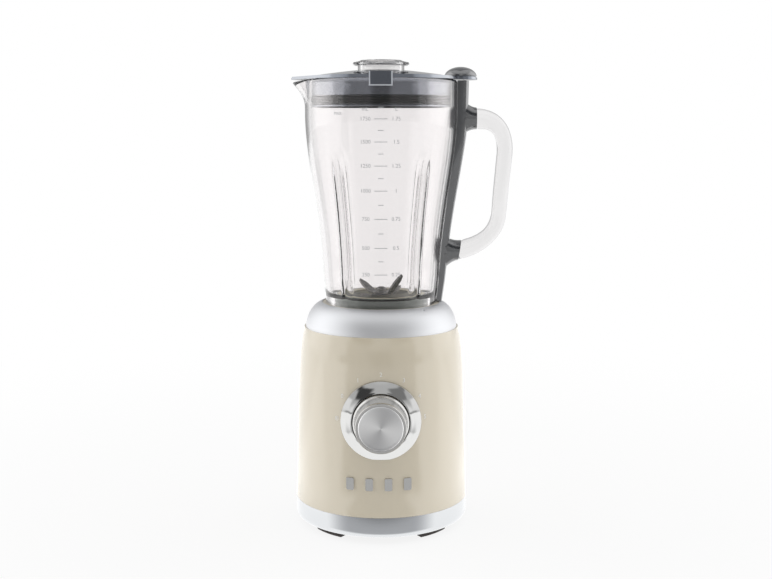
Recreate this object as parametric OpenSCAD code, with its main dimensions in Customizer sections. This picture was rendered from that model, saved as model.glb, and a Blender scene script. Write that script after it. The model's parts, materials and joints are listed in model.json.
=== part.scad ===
// Countertop blender. A motor base with one rotary switch carries a fluted glass
// jug with a spout, a looped handle, a bladed bottom and a plug lid.
// Millimetres, +Z up. The table is z = 0 and the machine's axis is x = y = 0.
// The knob faces -Y, the handle is at +X and the spout at -X.

/* [Base] */
// Radius of the painted housing at its bottom edge
base_r = 77.8; // [74:0.1:84]
// Height of the rubber feet
foot_h = 5.8; // [5:0.1:8]
// Height of the metal skirt round the bottom
skirt_h = 18.9; // [17:0.1:24]
// Height of the painted housing
shell_h = 155; // [150:1:170]
// How much the housing narrows evenly towards its top
shell_draw = 4.4; // [2:0.1:5]
// How much its rounded shoulder takes off at the top
shell_crown = 4.3; // [2:0.1:5]
// Wall of the housing, skirt and collar
shell_wall = 2.2; // [1.8:0.1:2.6]
// Height of the metal collar on the housing
collar_h = 22; // [20:0.1:25]
// Step from the housing in to the collar
collar_step = 1.2; // [0.6:0.1:2]
// Radius of the collar's mouth
mouth_r = 53; // [52:0.1:54]
// Angle that each rubber foot takes up round the base
foot_arc = 26; // [18:1:34]
// Radius of the cord gland
gland_r = 6.5; // [6:0.1:8]
// Height of the cord gland above the housing's bottom edge
gland_up = 16; // [15:0.5:24]
// Radius of the cord's bore through the gland
cord_r = 3.6; // [3:0.1:4]
// Width of a bright trim bar
bar_w = 6.5; // [4:0.1:8]
// Height of a trim bar
bar_h = 10.6; // [8:0.1:14]
// Distance between the trim bars' middles
bar_pitch = 16.5; // [12:0.1:18]
// Height of the trim bars' middles above the housing's bottom edge
bar_up = 29.5; // [24:0.5:36]

/* [Knob] */
// Height of the knob's centre above the housing's bottom edge
knob_up = 85; // [75:1:95]
// Radius of the polished ring round the knob
bezel_r = 34.5; // [32:0.1:37]
// How far the ring's inner edge stands off the housing
bezel_proud = 6; // [5.5:0.1:8]
// How much the ring falls away from there to its outer edge
bezel_fall = 4.8; // [3:0.1:5]
// Radius of the knob's foot
knob_r = 24; // [22:0.1:26]
// Height of the knob in front of its ring
knob_h = 21.5; // [18:0.5:26]
// Radius of the spun metal face on the knob
face_r = 18.9; // [17:0.1:20.5]
// Radius of the switch spindle
spindle_r = 3; // [2.5:0.1:3.5]
// Turn between two of the dial's marks
dial_step = 30; // [20:1:30]

/* [Motor] */
// Radius of the motor shaft
shaft_r = 4; // [3.5:0.1:5]
// Radius of the armature
armature_r = 22; // [20:0.1:24]
// Height of the laminations
lamination_h = 42; // [36:1:46]
// Air gap between the armature and the field
air_gap = 0.5; // [0.4:0.1:0.8]
// Width of the field laminations, left to right
stator_w = 88; // [84:1:92]
// Depth of the field laminations, front to back
stator_d = 76; // [74:1:80]
// Outer radius of the ball bearings
bearing_r = 11; // [10:0.5:12]
// Height of the ball bearings
bearing_h = 7; // [6:0.5:8]
// Radius of the commutator
commutator_r = 12; // [11:0.5:13]
// Radius of the cooling fan
fan_r = 38; // [34:0.5:42]
// Number of fan blades
fan_blades = 11; // [7:1:13]
// Width of a carbon brush
brush_w = 7; // [5:0.5:8]
// Length of a brush holder
brush_l = 18; // [16:0.5:20]
// Width of the control board
board_w = 56; // [50:1:60]
// Height of the control board
board_h = 46; // [40:1:50]

/* [Jug] */
// Height of the glass above its step at the collar
glass_h = 197; // [190:1:215]
// Outer radius of the glass at its rim
rim_r = 67; // [65:0.1:69]
// Outer radius of the glass where the taper ends
waist_r = 52.1; // [51:0.1:54]
// Height of that waist above the glass step
waist_up = 25; // [22:1:30]
// Outer radius of the glass at its step
foot_r = 49.2; // [48.5:0.1:49.8]
// Thickness of the glass wall
glass_wall = 4.5; // [3.5:0.1:5]
// Depth of the four flutes pressed into the glass
flute_depth = 4.6; // [3:0.1:7]
// Height of the flutes above the glass step
flute_h = 136; // [110:1:150]
// Half the width of a flute, along the glass
flute_half = 7.8; // [6:0.1:10]
// Turn of each flute from the front or back of the jug
flute_turn = 39; // [28:1:45]
// How far the spout stands out from the rim
spout_out = 10; // [6:0.1:12]
// Outer radius of the threaded neck below the step
neck_r = 46; // [45.5:0.1:46.4]
// Height of that neck
neck_h = 10; // [8:0.5:12]
// Outer radius of the ring that screws on the neck
ring_r = 48.8; // [48.4:0.1:49]

/* [Handle] */
// Thickness of the spine at its top
spine_top_t = 10.3; // [9:0.1:13]
// Thickness of the spine at its bottom
spine_low_t = 5.4; // [5:0.1:7]
// Half the width of the spine
spine_half_w = 8; // [7:0.1:10]
// Distance from the machine's axis to the middle of the grip
grip_out = 109.4; // [104:0.1:116]
// Thickness of the grip, inside to outside
grip_t = 13.7; // [12:0.1:16]
// Width of the grip, front to back
grip_w = 20; // [18:0.1:24]
// Drop from the rim to the middle of the upper handle collar
grip_drop = 33.5; // [30:0.5:40]
// Height of the lower handle collar above the glass step
grip_rise = 47; // [40:0.5:55]
// Radius of the safety rod in the spine
rod_r = 1.2; // [1:0.1:1.3]
// Travel of the safety rod
rod_travel = 3; // [2:0.1:4]

/* [Blades] */
// Reach of the lower blade and of the upper blade's two arms along the steel
lower_reach = 29; // [25:0.5:31]
upper_reach = [29, 33]; // [25:0.5:36]
// Width of a blade at its root
blade_w = 12; // [10:0.5:13]
// Thickness of the blade steel
blade_t = 1.6; // [1.2:0.1:2]
// Rise angles of the upper blade's two arms
upper_rise = [30, 51]; // [20:1:60]
// Rise angles of the lower blade's two arms
lower_rise = [8, 14]; // [4:1:18]
// Turn of the upper blade about the shaft, at rest
blade_turn = -42; // [-45:1:45]

/* [Lid] */
// Thickness of the lid's flange
flange_t = 2.6; // [2.4:0.1:3.5]
// Height of the lid's dome above the flange
dome_h = 5.2; // [4:0.1:8]
// Depth of the plug below the rim
plug_h = 23.5; // [21:0.5:28]
// Radius of the filler hole under the measuring cap
filler_r = 19.2; // [18:0.1:21]
// Depth of the measuring cap below the lid
cap_depth = 24; // [18:0.5:30]
// Height of the measuring cap above its seat
cap_h = 8.7; // [8:0.1:12]
// Radius of the measuring cap's flange
cap_flange_r = 24.8; // [24:0.1:28]
// Radius of the round thumb piece over the rod
thumb_r = 14.2; // [12:0.1:15]
// Height of the thumb piece
thumb_h = 8.6; // [7:0.1:11]

/* [Clearances] */
// Gap all round between a shaft and its bore
run_clr = 0.05; // [0.02:0.01:0.09]
// Gap between pieces that lift off one another
lift_clr = 0.3; // [0.25:0.05:0.4]
// Gap between pieces fitted side by side
fit_clr = 0.2; // [0.1:0.05:0.3]

/* [Hidden] */

$fn = 64;
eps = 0.01;

// Heights of the stacked housings
shell_z = foot_h + skirt_h;
collar_z = shell_z + shell_h;
collar_top = collar_z + collar_h;
step_z = collar_top - 1;
rim_z = step_z + glass_h;
knob_z = shell_z + knob_up;

// Housing profile
collar_r = base_r - shell_draw - shell_crown - collar_step;
collar_round = 18;
skirt_round = [5.8, 6];
ledge_w = 7;
ledge_t = 2.4;

// Radius of the painted housing at a height
function shell_r_at(z) = let (t = (z - shell_z) / shell_h)
    base_r - shell_draw * t - shell_crown * pow(max(t, 0), 10);
// Point on the collar's rounded profile, inset by d, at an angle from level
function collar_pt(a, d = 0) = [collar_r - collar_round + (collar_round - d) * cos(a),
    collar_z - 2 + (collar_h + 2.4 - d) * sin(a)];
// Angle at which the collar's profile, inset by d, meets the mouth
function mouth_angle(d) = acos((mouth_r - collar_r + collar_round) / (collar_round - d));
// Angle at which the collar's profile, inset by d, meets the housing
function seam_angle(d) = asin(2 / (collar_h + 2.4 - d));

// Base fastening
plate_t = 2.5;
plate_r = base_r - skirt_round[0] - 0.5;
foot_mid_r = base_r - 17.6;
foot_w = 14;
foot_web = 1.6;
screw_r = 1.8;
boss_r = 5;
boss_h = 15;

// Seat for the jug
cup_t = 3;
cup_r = ring_r + 0.5;
cup_wall = 1.6;
cup_floor = collar_z + cup_t;
cup_rim_z = collar_top - 0.4;
lug_w = 8;
lug_h = 6;

// Underside and the board that stands on it
vent_arc = 28;
post_x = board_w / 2 + 2;
board_y = stator_d / 2 + 14;
board_z = foot_h + 54.2;
board_t = 1.6;
choke_r = 9;
choke_h = 8;
capacitor = [18, 9, 13];
terminal = [22, 8, 9];

// Motor stack, upwards from the underside; the posts reach down to it from the seat
damper_h = 3;
bracket_t = 5;
arm_w = 10.4;
coil_over = 9;
coil_t = 9;
upper_leg = 18;
lower_leg = 33;
leg_r = 5;
fan_gap = 9.4;
fan_h = 14;
fan_z = foot_h + plate_t + fan_gap;
lower_z = fan_z + 24;
stator_z = lower_z + bracket_t + lower_leg;
stator_top = stator_z + lamination_h;
bracket_top = stator_top + upper_leg + bracket_t;
post_z = bracket_top + damper_h;
post_r = 5.5;
bolt_x = stator_w / 2 - post_r;
bolt_y = stator_d / 2 - 6.5;
bolt_r = 2;
bolt_top = collar_z - 12;
bolt_head = 3.5;
stator_bore = armature_r + air_gap;
pole_x = stator_w / 2 - 10;
pole_y = 20;
slot_w = 10;
commutator_h = 16;
commutator_z = lower_z + bracket_t + 8;
upper_bearing_z = bracket_top - bearing_h + 1;
lower_bearing_z = lower_z + 1;
holder_wall = 1.2;
brush_z = commutator_z + commutator_h / 2;
shaft_low = fan_z - 2;
shaft_top = cup_floor + 11;
armature_slots = 12;

// Couplers
coupler_teeth = 6;
coupler_r = 13;
tooth_r = 3.2;
coupler_z = cup_floor + 2.5;
coupler_h = 9;
driven_z = coupler_z + 1.2;
driven_h = 13;
driven_r = 20;

// Knob and switch, measured outwards from the machine's axis
knob_face_r = shell_r_at(knob_z);
bezel_front = knob_face_r + bezel_proud;
knob_foot = bezel_front + 0.6;
knob_front = bezel_front + knob_h;
switch_w = 34;
switch_d = 18;
switch_front = knob_face_r - 9;
bushing_r = 5;
nut_h = 2;
terminal_pitch = 6;
bezel_hole = knob_r + 0.6;

// Jug
shoulder_z = rim_z - 30;
waist_z = step_z + waist_up;
neck_z = step_z - neck_h;
flute_top = step_z + flute_h;
flute_low = step_z + 6;
flute_fade = 28;
spout_half = 22;
spout_low = 26;
spout_dip = 0.16;
lip = 2;
holder_r = neck_r - 4.5;
neck_bore = holder_r + 0.5;
holder_top = step_z + 8;
dish = 3.6;
seal_t = 1.2;
holder_flange_t = 2.3;
holder_z = neck_z - seal_t - holder_flange_t;
ring_z = cup_floor + lift_clr;

// Handle, rod and plunger
spine_low_z = collar_top + 0.8;
spine_high_z = rim_z - 0.5;
rod_top_x = rim_r + spine_top_t * 0.68;
rod_low_x = foot_r + fit_clr + spine_low_t * 0.52;
rod_low_z = spine_low_z - 0.2;
rod_lean = atan((rod_top_x - rod_low_x) / (spine_high_z - rod_low_z));
rod_len = (spine_high_z - rod_low_z) / cos(rod_lean);
pin_r = 2.2;
pin_top = rim_z - 0.2;
pocket_r = pin_r + 0.4;
pocket_h = 15 + rod_travel;
grip_lean = 4.6;
collar_reach_top = 17;
collar_reach_low = 16.4;
grip_end_tilt = -9;
spigot_r = 5;
plunger_r = 1.3;
plunger_top = rod_low_z - lift_clr;
sensor_h = 14;

grip_top_z = rim_z - grip_drop;
grip_low_z = step_z + grip_rise;
grip_top_x = rim_r + collar_reach_top;
grip_low_x = glass_r_at(grip_low_z) + collar_reach_low;
socket_rows = 6;
socket_flare = 0.6;

// Blade stack
bush_r = 7;
boss_top = holder_top - 2.5;
lower_blade_z = boss_top + 1;
upper_blade_z = lower_blade_z + blade_t + 0.4;
nut_z = upper_blade_z + blade_t;
nut_flats_h = 2.8;
nut_cap_h = 1.6;
blade_root_r = 8;
blade_root_l = blade_root_r + 2;
blade_root_half = blade_w / 2 - 1;

// Lid
flange_z = rim_z + lift_clr;
flange_top = flange_z + flange_t;
lid_r = rim_r + 0.5;
plug_r = rim_r - glass_wall - 0.9;
plug_wall = 3;
seal_high = 13.8;
seal_h = 8.5;
seal_ribs = 3;
dome_t = 3;
neck_top = flange_top + dome_h;
cap_r = filler_r - 0.6;
cap_wall = 2;
thumb_x = rod_top_x - 4.2;
tab_w = 19.5;
tab_drop = 7;
tab_t = 3.6;
spout_tip_r = 2.5;
spout_tip_x = rim_r + spout_out - 0.6;

// ---- Shared shapes ----

// Cubic curve through four points
function bezier(p, t) = pow(1 - t, 3) * p[0] + 3 * pow(1 - t, 2) * t * p[1]
    + 3 * (1 - t) * t * t * p[2] + pow(t, 3) * p[3];
// Smooth step from 0 to 1 between a and b
function ease(a, b, x) = let (t = min(max((x - a) / (b - a), 0), 1)) t * t * (3 - 2 * t);
// Side faces between rings of n points, the rings in order from ring 0
function side_faces(n, rings, closed = false) = [
    for (i = [0 : rings - (closed ? 1 : 2)], j = [0 : n - 1])
        let (a = i * n, b = ((i + 1) % rings) * n, k = (j + 1) % n)
            each [[a + j, b + j, b + k], [a + j, b + k, a + k]]];
// The two end faces of a run of rings
function end_faces(n, rings) = [[for (j = [0 : n - 1]) j],
    [for (j = [n - 1 : -1 : 0]) (rings - 1) * n + j]];

module loft(rings) {
    n = len(rings[0]);
    m = len(rings);
    polyhedron(points = [for (r = rings) each r],
        faces = concat(side_faces(n, m), end_faces(n, m)), convexity = 6);
}

module tube(r_out, r_in, h, z = 0) {
    translate([0, 0, z]) difference() {
        cylinder(r = r_out, h = h);
        translate([0, 0, -eps]) cylinder(r = r_in, h = h + 2 * eps);
    }
}

module rounded_rect(w, h, r) {
    square([w - 2 * r, h], center = true);
    square([w, h - 2 * r], center = true);
    for (x = [-1, 1], y = [-1, 1])
        translate([x * (w / 2 - r), y * (h / 2 - r)]) circle(r = r);
}

// Local z points out through the front at the knob's height
module at_knob() {
    translate([0, 0, knob_z]) rotate([90, 0, 0]) children();
}

module at_diagonals(r, first = 45) {
    for (i = [0 : 3]) rotate([0, 0, first + i * 90]) translate([r, 0, 0]) children();
}

module at_motor_bolts() {
    for (x = [-1, 1], y = [-1, 1]) translate([x * bolt_x, y * bolt_y, 0]) children();
}

// The housing's outside between two heights, grown by d
module shell_solid(z0, z1, d = 0, steps = 4) {
    rotate_extrude($fn = 96) polygon(concat([[0, z0]],
        [for (i = [0 : steps]) let (z = z0 + (z1 - z0) * i / steps) [shell_r_at(z) + d, z]],
        [[0, z1]]));
}

// ---- Base housings ----

module housing_shell() {
    steps = 16;
    zs = [for (i = [0 : steps]) shell_z + shell_h * (1 - pow(1 - i / steps, 1.5))];
    color([0.84, 0.81, 0.74]) difference() {
        rotate_extrude($fn = 96) polygon(concat(
            [for (z = zs) [shell_r_at(z), z]],
            [[collar_r - ledge_w, collar_z], [collar_r - ledge_w, collar_z - ledge_t],
                [shell_r_at(collar_z - 8) - shell_wall, collar_z - ledge_t - 3]],
            [for (i = [steps : -1 : 0]) if (zs[i] < collar_z - 8)
                [shell_r_at(zs[i]) - shell_wall, zs[i]]]));
        at_knob() cylinder(r = bushing_r + 0.3, h = base_r + 5);
        at_knob() bezel_studs(2.2, knob_face_r / 3, base_r);
        at_gland() cylinder(r = gland_r + fit_clr, h = base_r + 5);
    }
}

module top_collar() {
    steps = 14;
    a0 = seam_angle(0);
    a1 = mouth_angle(0);
    b0 = seam_angle(shell_wall);
    b1 = mouth_angle(shell_wall);
    color([0.75, 0.76, 0.78]) difference() {
        rotate_extrude($fn = 96) polygon(concat(
            [for (i = [0 : steps]) collar_pt(a0 + (a1 - a0) * i / steps)],
            [for (i = [steps : -1 : 0]) collar_pt(b0 + (b1 - b0) * i / steps, shell_wall)]));
        translate([rod_low_x, 0, collar_z + 4]) cylinder(r = plunger_r + 0.5, h = collar_h);
        rotate([0, 0, -50]) translate([mouth_r + 4.6, 0, collar_top - 2.4])
            cylinder(r = 1.4, h = 4, $fn = 32);
    }
}

module bottom_skirt() {
    steps = 8;
    curve = function (d) [for (i = [0 : steps]) let (a = -90 + 90 * i / steps)
        [base_r - skirt_round[0] + (skirt_round[0] - d) * cos(a),
            foot_h + skirt_round[1] + (skirt_round[1] - d) * sin(a)]];
    outer = curve(0);
    inner = curve(shell_wall);
    color([0.75, 0.76, 0.78]) {
        rotate_extrude($fn = 96) polygon(concat(outer,
            [[base_r, shell_z - fit_clr / 2], [base_r - shell_wall - fit_clr, shell_z - fit_clr / 2],
                [base_r - shell_wall - fit_clr, shell_z + 5],
                [base_r - 2 * shell_wall, shell_z + 5],
                [base_r - 2 * shell_wall, shell_z - 3],
                [base_r - shell_wall, shell_z - 5]],
            [for (i = [steps : -1 : 0]) inner[i]]));
        at_diagonals(foot_mid_r) difference() {
            union() {
                translate([0, 0, foot_h + plate_t]) cylinder(r = boss_r, h = boss_h);
                translate([0, -1.25, foot_h + plate_t + 3])
                    cube([base_r - shell_wall - foot_mid_r + 0.4, 2.5, boss_h - 3]);
            }
            translate([0, 0, foot_h]) cylinder(r = screw_r, h = boss_h);
        }
    }
}

module base_plate() {
    vents = 9;
    color([0.16, 0.16, 0.17]) difference() {
        union() {
            translate([0, 0, foot_h]) cylinder(r = plate_r, h = plate_t);
            for (x = [-1, 1]) translate([x * post_x, board_y, foot_h]) difference() {
                cylinder(r = 4, h = board_z + 6 - foot_h);
                translate([x < 0 ? 0 : -6, -0.9, board_z - foot_h]) cube([6, 1.8, 10]);
            }
        }
        for (ring = [0 : 3], i = [0 : vents - 1])
            rotate([0, 0, i * 360 / vents]) rotate([0, 0, -vent_arc / 2])
                translate([0, 0, foot_h - 1]) rotate_extrude(angle = vent_arc)
                    translate([12 + ring * 8.5, 0]) square([3.2, plate_t + 2]);
        at_diagonals(foot_mid_r) translate([0, 0, foot_h - 1]) cylinder(r = screw_r + 0.2, h = 6);
    }
}

module rubber_feet() {
    in_r = foot_mid_r - foot_w / 2;
    out_r = foot_mid_r + foot_w / 2;
    color([0.2, 0.16, 0.15]) at_diagonals(0) difference() {
        rotate([0, 0, -foot_arc / 2]) rotate_extrude(angle = foot_arc)
            polygon([[in_r + 1, 0], [out_r - 0.8, 0], [out_r, 0.8], [out_r, foot_h - 0.1],
                [in_r, foot_h - 0.1], [in_r, 1]]);
        translate([foot_mid_r, 0, -1]) cylinder(r = 4, h = foot_h - foot_web + 1);
        translate([foot_mid_r, 0, -1]) cylinder(r = screw_r + 0.2, h = foot_h + 2);
    }
}

module base_screws() {
    head_z = foot_h - foot_web;
    color([0.7, 0.7, 0.72]) at_diagonals(foot_mid_r) difference() {
        union() {
            translate([0, 0, head_z - 2]) cylinder(r = 3.4, h = 2);
            translate([0, 0, head_z - eps]) cylinder(r = screw_r, h = boss_h);
        }
        for (a = [0, 90]) rotate([0, 0, a]) translate([-2, -0.4, head_z - 3]) cube([4, 0.8, 2.1]);
    }
}

// Four lugs round the seat that hold the jug from turning
module seat_lugs() {
    at_diagonals(cup_r - 3) translate([0, -lug_w / 2, cup_floor - 1]) cube([4, lug_w, lug_h + 1]);
}

module seat_cup() {
    floor_r = collar_pt(seam_angle(shell_wall), shell_wall)[0] - 0.5;
    color([0.15, 0.15, 0.16]) difference() {
        union() {
            translate([0, 0, collar_z + fit_clr / 2]) cylinder(r = floor_r, h = cup_t - fit_clr / 2);
            tube(cup_r + cup_wall, cup_r, cup_rim_z - collar_z - 1, collar_z + 1);
            tube(mouth_r - lift_clr, cup_r, 3.4, cup_rim_z - 3.4);
            translate([rod_low_x, 0, collar_z + 1]) cylinder(r = 3.2, h = collar_h - 5);
            seat_lugs();
            at_motor_bolts() translate([0, 0, post_z]) cylinder(r = post_r, h = collar_z + 1 - post_z);
        }
        translate([0, 0, cup_floor + lug_h]) cylinder(r = cup_r, h = collar_h);
        difference() {
            translate([0, 0, cup_floor]) cylinder(r = cup_r, h = lug_h + 1);
            seat_lugs();
        }
        cylinder(r = shaft_r + 1.5, h = collar_top);
        translate([rod_low_x, 0, collar_z - 1]) cylinder(r = plunger_r + run_clr, h = collar_h + 2);
        at_motor_bolts() translate([0, 0, post_z - 1]) cylinder(r = bolt_r, h = collar_z - 6 - post_z);
    }
}

// Local z points out through the back at the cord inlet's height
module at_gland() {
    translate([0, 0, shell_z + gland_up]) rotate([-90, 0, 0]) children();
}

module cord_gland() {
    outside = shell_r_at(shell_z + gland_up);
    color([0.12, 0.12, 0.13]) at_gland() difference() {
        union() {
            translate([0, 0, outside - 9]) cylinder(r = gland_r, h = 11);
            translate([0, 0, outside + 0.6]) cylinder(r = gland_r + 2.5, h = 2);
            translate([0, 0, outside - 9]) cylinder(r = gland_r + 1.8, h = 3);
        }
        translate([0, 0, outside - 20]) cylinder(r = cord_r, h = 40);
    }
}

module trim_bars() {
    color([0.8, 0.8, 0.82]) for (i = [-1.5 : 1 : 1.5]) intersection() {
        difference() {
            shell_solid(shell_z + bar_up - bar_h, shell_z + bar_up + bar_h, 1.5, 2);
            shell_solid(shell_z + bar_up - bar_h - 1, shell_z + bar_up + bar_h + 1, 0.05, 2);
        }
        translate([i * bar_pitch - 1.8, 0, shell_z + bar_up]) rotate([90, 0, 0])
            linear_extrude(height = base_r + 5) rounded_rect(bar_w, bar_h, 1.2);
    }
}

// ---- Knob and switch ----

module bezel_studs(r, low, high) {
    for (a = [90, 210, 330]) rotate([0, 0, a])
        translate([(bezel_r + bezel_hole) / 2, 0, low]) cylinder(r = r, h = high - low, $fn = 32);
}

module knob_bezel() {
    front = bezel_front;
    edge = front - bezel_fall;
    slope = bezel_r - bezel_hole;
    color([0.85, 0.85, 0.86]) {
        difference() {
            at_knob() rotate_extrude($fn = 96) polygon([[bezel_hole, edge - 11], [bezel_r, edge - 11],
                [bezel_r, edge - 0.7], [bezel_r - 0.2, edge - 0.25], [bezel_r - 0.6, edge],
                [bezel_r - slope * 0.36, edge + bezel_fall * 0.37],
                [bezel_r - slope * 0.68, edge + bezel_fall * 0.71],
                [bezel_hole + 1, front - 0.2], [bezel_hole + 0.4, front], [bezel_hole, front - 0.5]]);
            shell_solid(knob_z - bezel_r - 2, knob_z + bezel_r + 2, 2 * fit_clr, 1);
        }
        at_knob() bezel_studs(2, knob_face_r - 12, edge - 1);
    }
}

module knob_body() {
    color([0.78, 0.78, 0.79]) at_knob() {
        rotate_extrude($fn = 96) polygon([[spindle_r, knob_front - 14], [spindle_r, knob_front - 2],
            [face_r + 0.2, knob_front - 2], [face_r + 0.2, knob_front - 0.6],
            [knob_r - 3, knob_front - 0.6], [knob_r - 2.4, knob_front - 1.6],
            [knob_r - 1.4, knob_foot + 4], [knob_r - 0.3, knob_foot + 2.4], [knob_r, knob_foot + 1.4],
            [knob_r, knob_foot], [knob_r - 3, knob_foot], [knob_r - 4, knob_front - 5],
            [spindle_r + 4, knob_front - 5], [spindle_r + 3, knob_front - 14]]);
    }
}

module knob_face() {
    color([0.72, 0.72, 0.73]) at_knob() translate([0, 0, knob_front - 2])
        rotate_extrude($fn = 96) polygon([[0, 0], [face_r, 0], [face_r, 1.5], [face_r - 0.5, 2],
            [face_r - 1.4, 2], [face_r - 2.2, 1.7], [0, 1.7]]);
}

module knob_spindle() {
    color([0.7, 0.7, 0.7]) at_knob() translate([0, 0, switch_front - switch_d + 4])
        cylinder(r = spindle_r, h = knob_front - 2 - switch_front + switch_d - 4);
}

module switch_body() {
    back = switch_front - switch_d;
    color([0.2, 0.2, 0.22]) at_knob() difference() {
        union() {
            translate([0, 0, back]) linear_extrude(height = switch_d) rounded_rect(switch_w, switch_w - 2, 3);
            translate([0, 0, switch_front - 1])
                cylinder(r = bushing_r, h = knob_face_r + nut_h + 1 - switch_front);
            for (x = [-2 : 2]) translate([x * terminal_pitch - 2, -switch_w / 2 - 5, back + 5])
                cube([4, 6, 0.8]);
        }
        translate([0, 0, back + 3]) cylinder(r = spindle_r + run_clr, h = knob_front);
        for (i = [0 : 6]) rotate([0, 0, 180 - i * dial_step]) translate([10, 0, switch_front - 0.8])
            cylinder(r = 1.2, h = 2, $fn = 24);
    }
}

module switch_nut() {
    color([0.75, 0.75, 0.76]) at_knob() translate([0, 0, knob_face_r + fit_clr]) difference() {
        cylinder(r = 8, h = nut_h, $fn = 6);
        translate([0, 0, -1]) cylinder(r = bushing_r, h = nut_h + 2);
    }
}

module control_board() {
    color([0.15, 0.35, 0.2]) translate([0, board_y, board_z + board_h / 2]) difference() {
        cube([board_w, board_t, board_h], center = true);
        for (x = [-1, 1]) translate([x * (board_w / 2 - 5), 0, board_h / 2 - 5])
            rotate([90, 0, 0]) cylinder(r = 1.6, h = 4, center = true, $fn = 24);
    }
}

module mains_filter() {
    front = board_y - board_t / 2;
    left = choke_r - board_w / 2 + 1;
    color([0.85, 0.7, 0.2]) {
        translate([left - choke_r, front - capacitor[1], board_z + 22]) cube(capacitor);
        translate([choke_r + 1, front, board_z + 26]) rotate([90, 0, 0]) tube(choke_r, choke_r / 2, choke_h);
        translate([left - choke_r, front - terminal[1], board_z + 8]) cube(terminal);
    }
}

// ---- Motor ----

module stator_core() {
    color([0.45, 0.46, 0.48]) translate([0, 0, stator_z]) difference() {
        intersection() {
            translate([-stator_w / 2, -stator_d / 2, 0]) cube([stator_w, stator_d, lamination_h]);
            cylinder(r = stator_w / 2 + 10, h = lamination_h);
        }
        translate([0, 0, -1]) cylinder(r = stator_bore, h = lamination_h + 2, $fn = 96);
        for (y = [-1, 1]) translate([-pole_x, y * (pole_y + slot_w / 2) - slot_w / 2, -1])
            cube([2 * pole_x, slot_w, lamination_h + 2]);
        at_motor_bolts() translate([0, 0, -1]) cylinder(r = bolt_r + 0.2, h = lamination_h + 2);
    }
}

module field_coils() {
    tall = lamination_h + 2 * coil_over;
    wide = 2 * (pole_y + slot_w) - 1;
    color([0.72, 0.4, 0.2]) for (x = [-1, 1])
        translate([x * (pole_x - coil_t / 2 - 0.3), 0, stator_z + lamination_h / 2]) rotate([90, 0, 90])
            linear_extrude(height = coil_t, center = true) difference() {
                rounded_rect(wide, tall, 7);
                rounded_rect(2 * pole_y + 0.6, lamination_h + 0.6, 0.8);
            }
}

module motor_bracket(z, bore_z) {
    reach = norm([bolt_x, bolt_y]);
    difference() {
        union() {
            translate([0, 0, z]) linear_extrude(height = bracket_t) {
                for (a = [-1, 1]) rotate(a * atan(bolt_y / bolt_x))
                    square([2 * reach, arm_w], center = true);
                at_motor_bolts() circle(r = leg_r + 1);
                circle(r = bearing_r + 4);
            }
            translate([0, 0, bore_z - 1.5]) cylinder(r = bearing_r + 3, h = bearing_h + 3);
            children();
        }
        at_motor_bolts() translate([0, 0, z - 40]) cylinder(r = bolt_r + 0.2, h = 90);
        translate([0, 0, bore_z]) cylinder(r = bearing_r, h = bearing_h + 20);
        translate([0, 0, bore_z - 10]) cylinder(r = shaft_r + 2, h = 40);
    }
}

module upper_bracket() {
    color([0.6, 0.61, 0.63]) motor_bracket(bracket_top - bracket_t, upper_bearing_z)
        at_motor_bolts() translate([0, 0, stator_top]) cylinder(r = leg_r, h = upper_leg + 1);
}

module lower_bracket() {
    color([0.6, 0.61, 0.63]) motor_bracket(lower_z, lower_bearing_z)
        at_motor_bolts() translate([0, 0, lower_z + 1]) cylinder(r = leg_r, h = lower_leg + bracket_t - 1);
}

module ball_bearing(z) {
    color([0.78, 0.78, 0.8]) translate([0, 0, z]) difference() {
        cylinder(r = bearing_r, h = bearing_h);
        translate([0, 0, -1]) cylinder(r = shaft_r + run_clr, h = bearing_h + 2);
        for (end = [-1, bearing_h - 0.6]) tube(bearing_r - 2.4, shaft_r + 2.4, 1.6, end);
    }
}

module upper_bearing() {
    ball_bearing(upper_bearing_z);
}

module lower_bearing() {
    ball_bearing(lower_bearing_z);
}

module brush_holders() {
    color([0.78, 0.62, 0.3]) for (a = [0, 180]) rotate([0, 0, a]) {
        translate([0, commutator_r + 3, brush_z]) difference() {
            translate([-brush_w / 2 - holder_wall, 0, -brush_w / 2 - holder_wall])
                cube([brush_w + 2 * holder_wall, brush_l, brush_w + 2 * holder_wall]);
            translate([-brush_w / 2 - 0.1, -1, -brush_w / 2 - 0.1])
                cube([brush_w + 0.2, brush_l - 1, brush_w + 0.2]);
        }
        for (x = [-1, 1]) translate([x * (brush_w / 2 + 3) - 2, commutator_r + 8, lower_z + bracket_t])
            cube([4, 8, brush_z - lower_z - bracket_t]);
        translate([-brush_w / 2 - 5, commutator_r + 6, lower_z]) cube([brush_w + 10, 12, bracket_t + 2]);
    }
}

module carbon_brushes() {
    color([0.12, 0.12, 0.12]) for (a = [0, 180]) rotate([0, 0, a])
        translate([-brush_w / 2, commutator_r + lift_clr, brush_z - brush_w / 2])
            cube([brush_w, brush_l - 1, brush_w]);
}

module motor_bolts() {
    low = lower_z - bolt_head;
    color([0.7, 0.7, 0.72]) at_motor_bolts() difference() {
        union() {
            translate([0, 0, low]) cylinder(r = 3.6, h = bolt_head);
            translate([0, 0, low + eps]) cylinder(r = bolt_r, h = bolt_top - low);
        }
        translate([0, 0, low - 1]) cylinder(r = 2, h = 3, $fn = 6);
    }
}

module motor_dampers() {
    color([0.14, 0.14, 0.15]) at_motor_bolts() tube(post_r, bolt_r, damper_h, bracket_top);
}

module armature_slot(w, depth) {
    for (i = [0 : armature_slots - 1]) rotate([0, 0, (i + 0.5) * 360 / armature_slots])
        translate([armature_r - 1.6 - depth, -w / 2, 0]) children();
}

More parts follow.
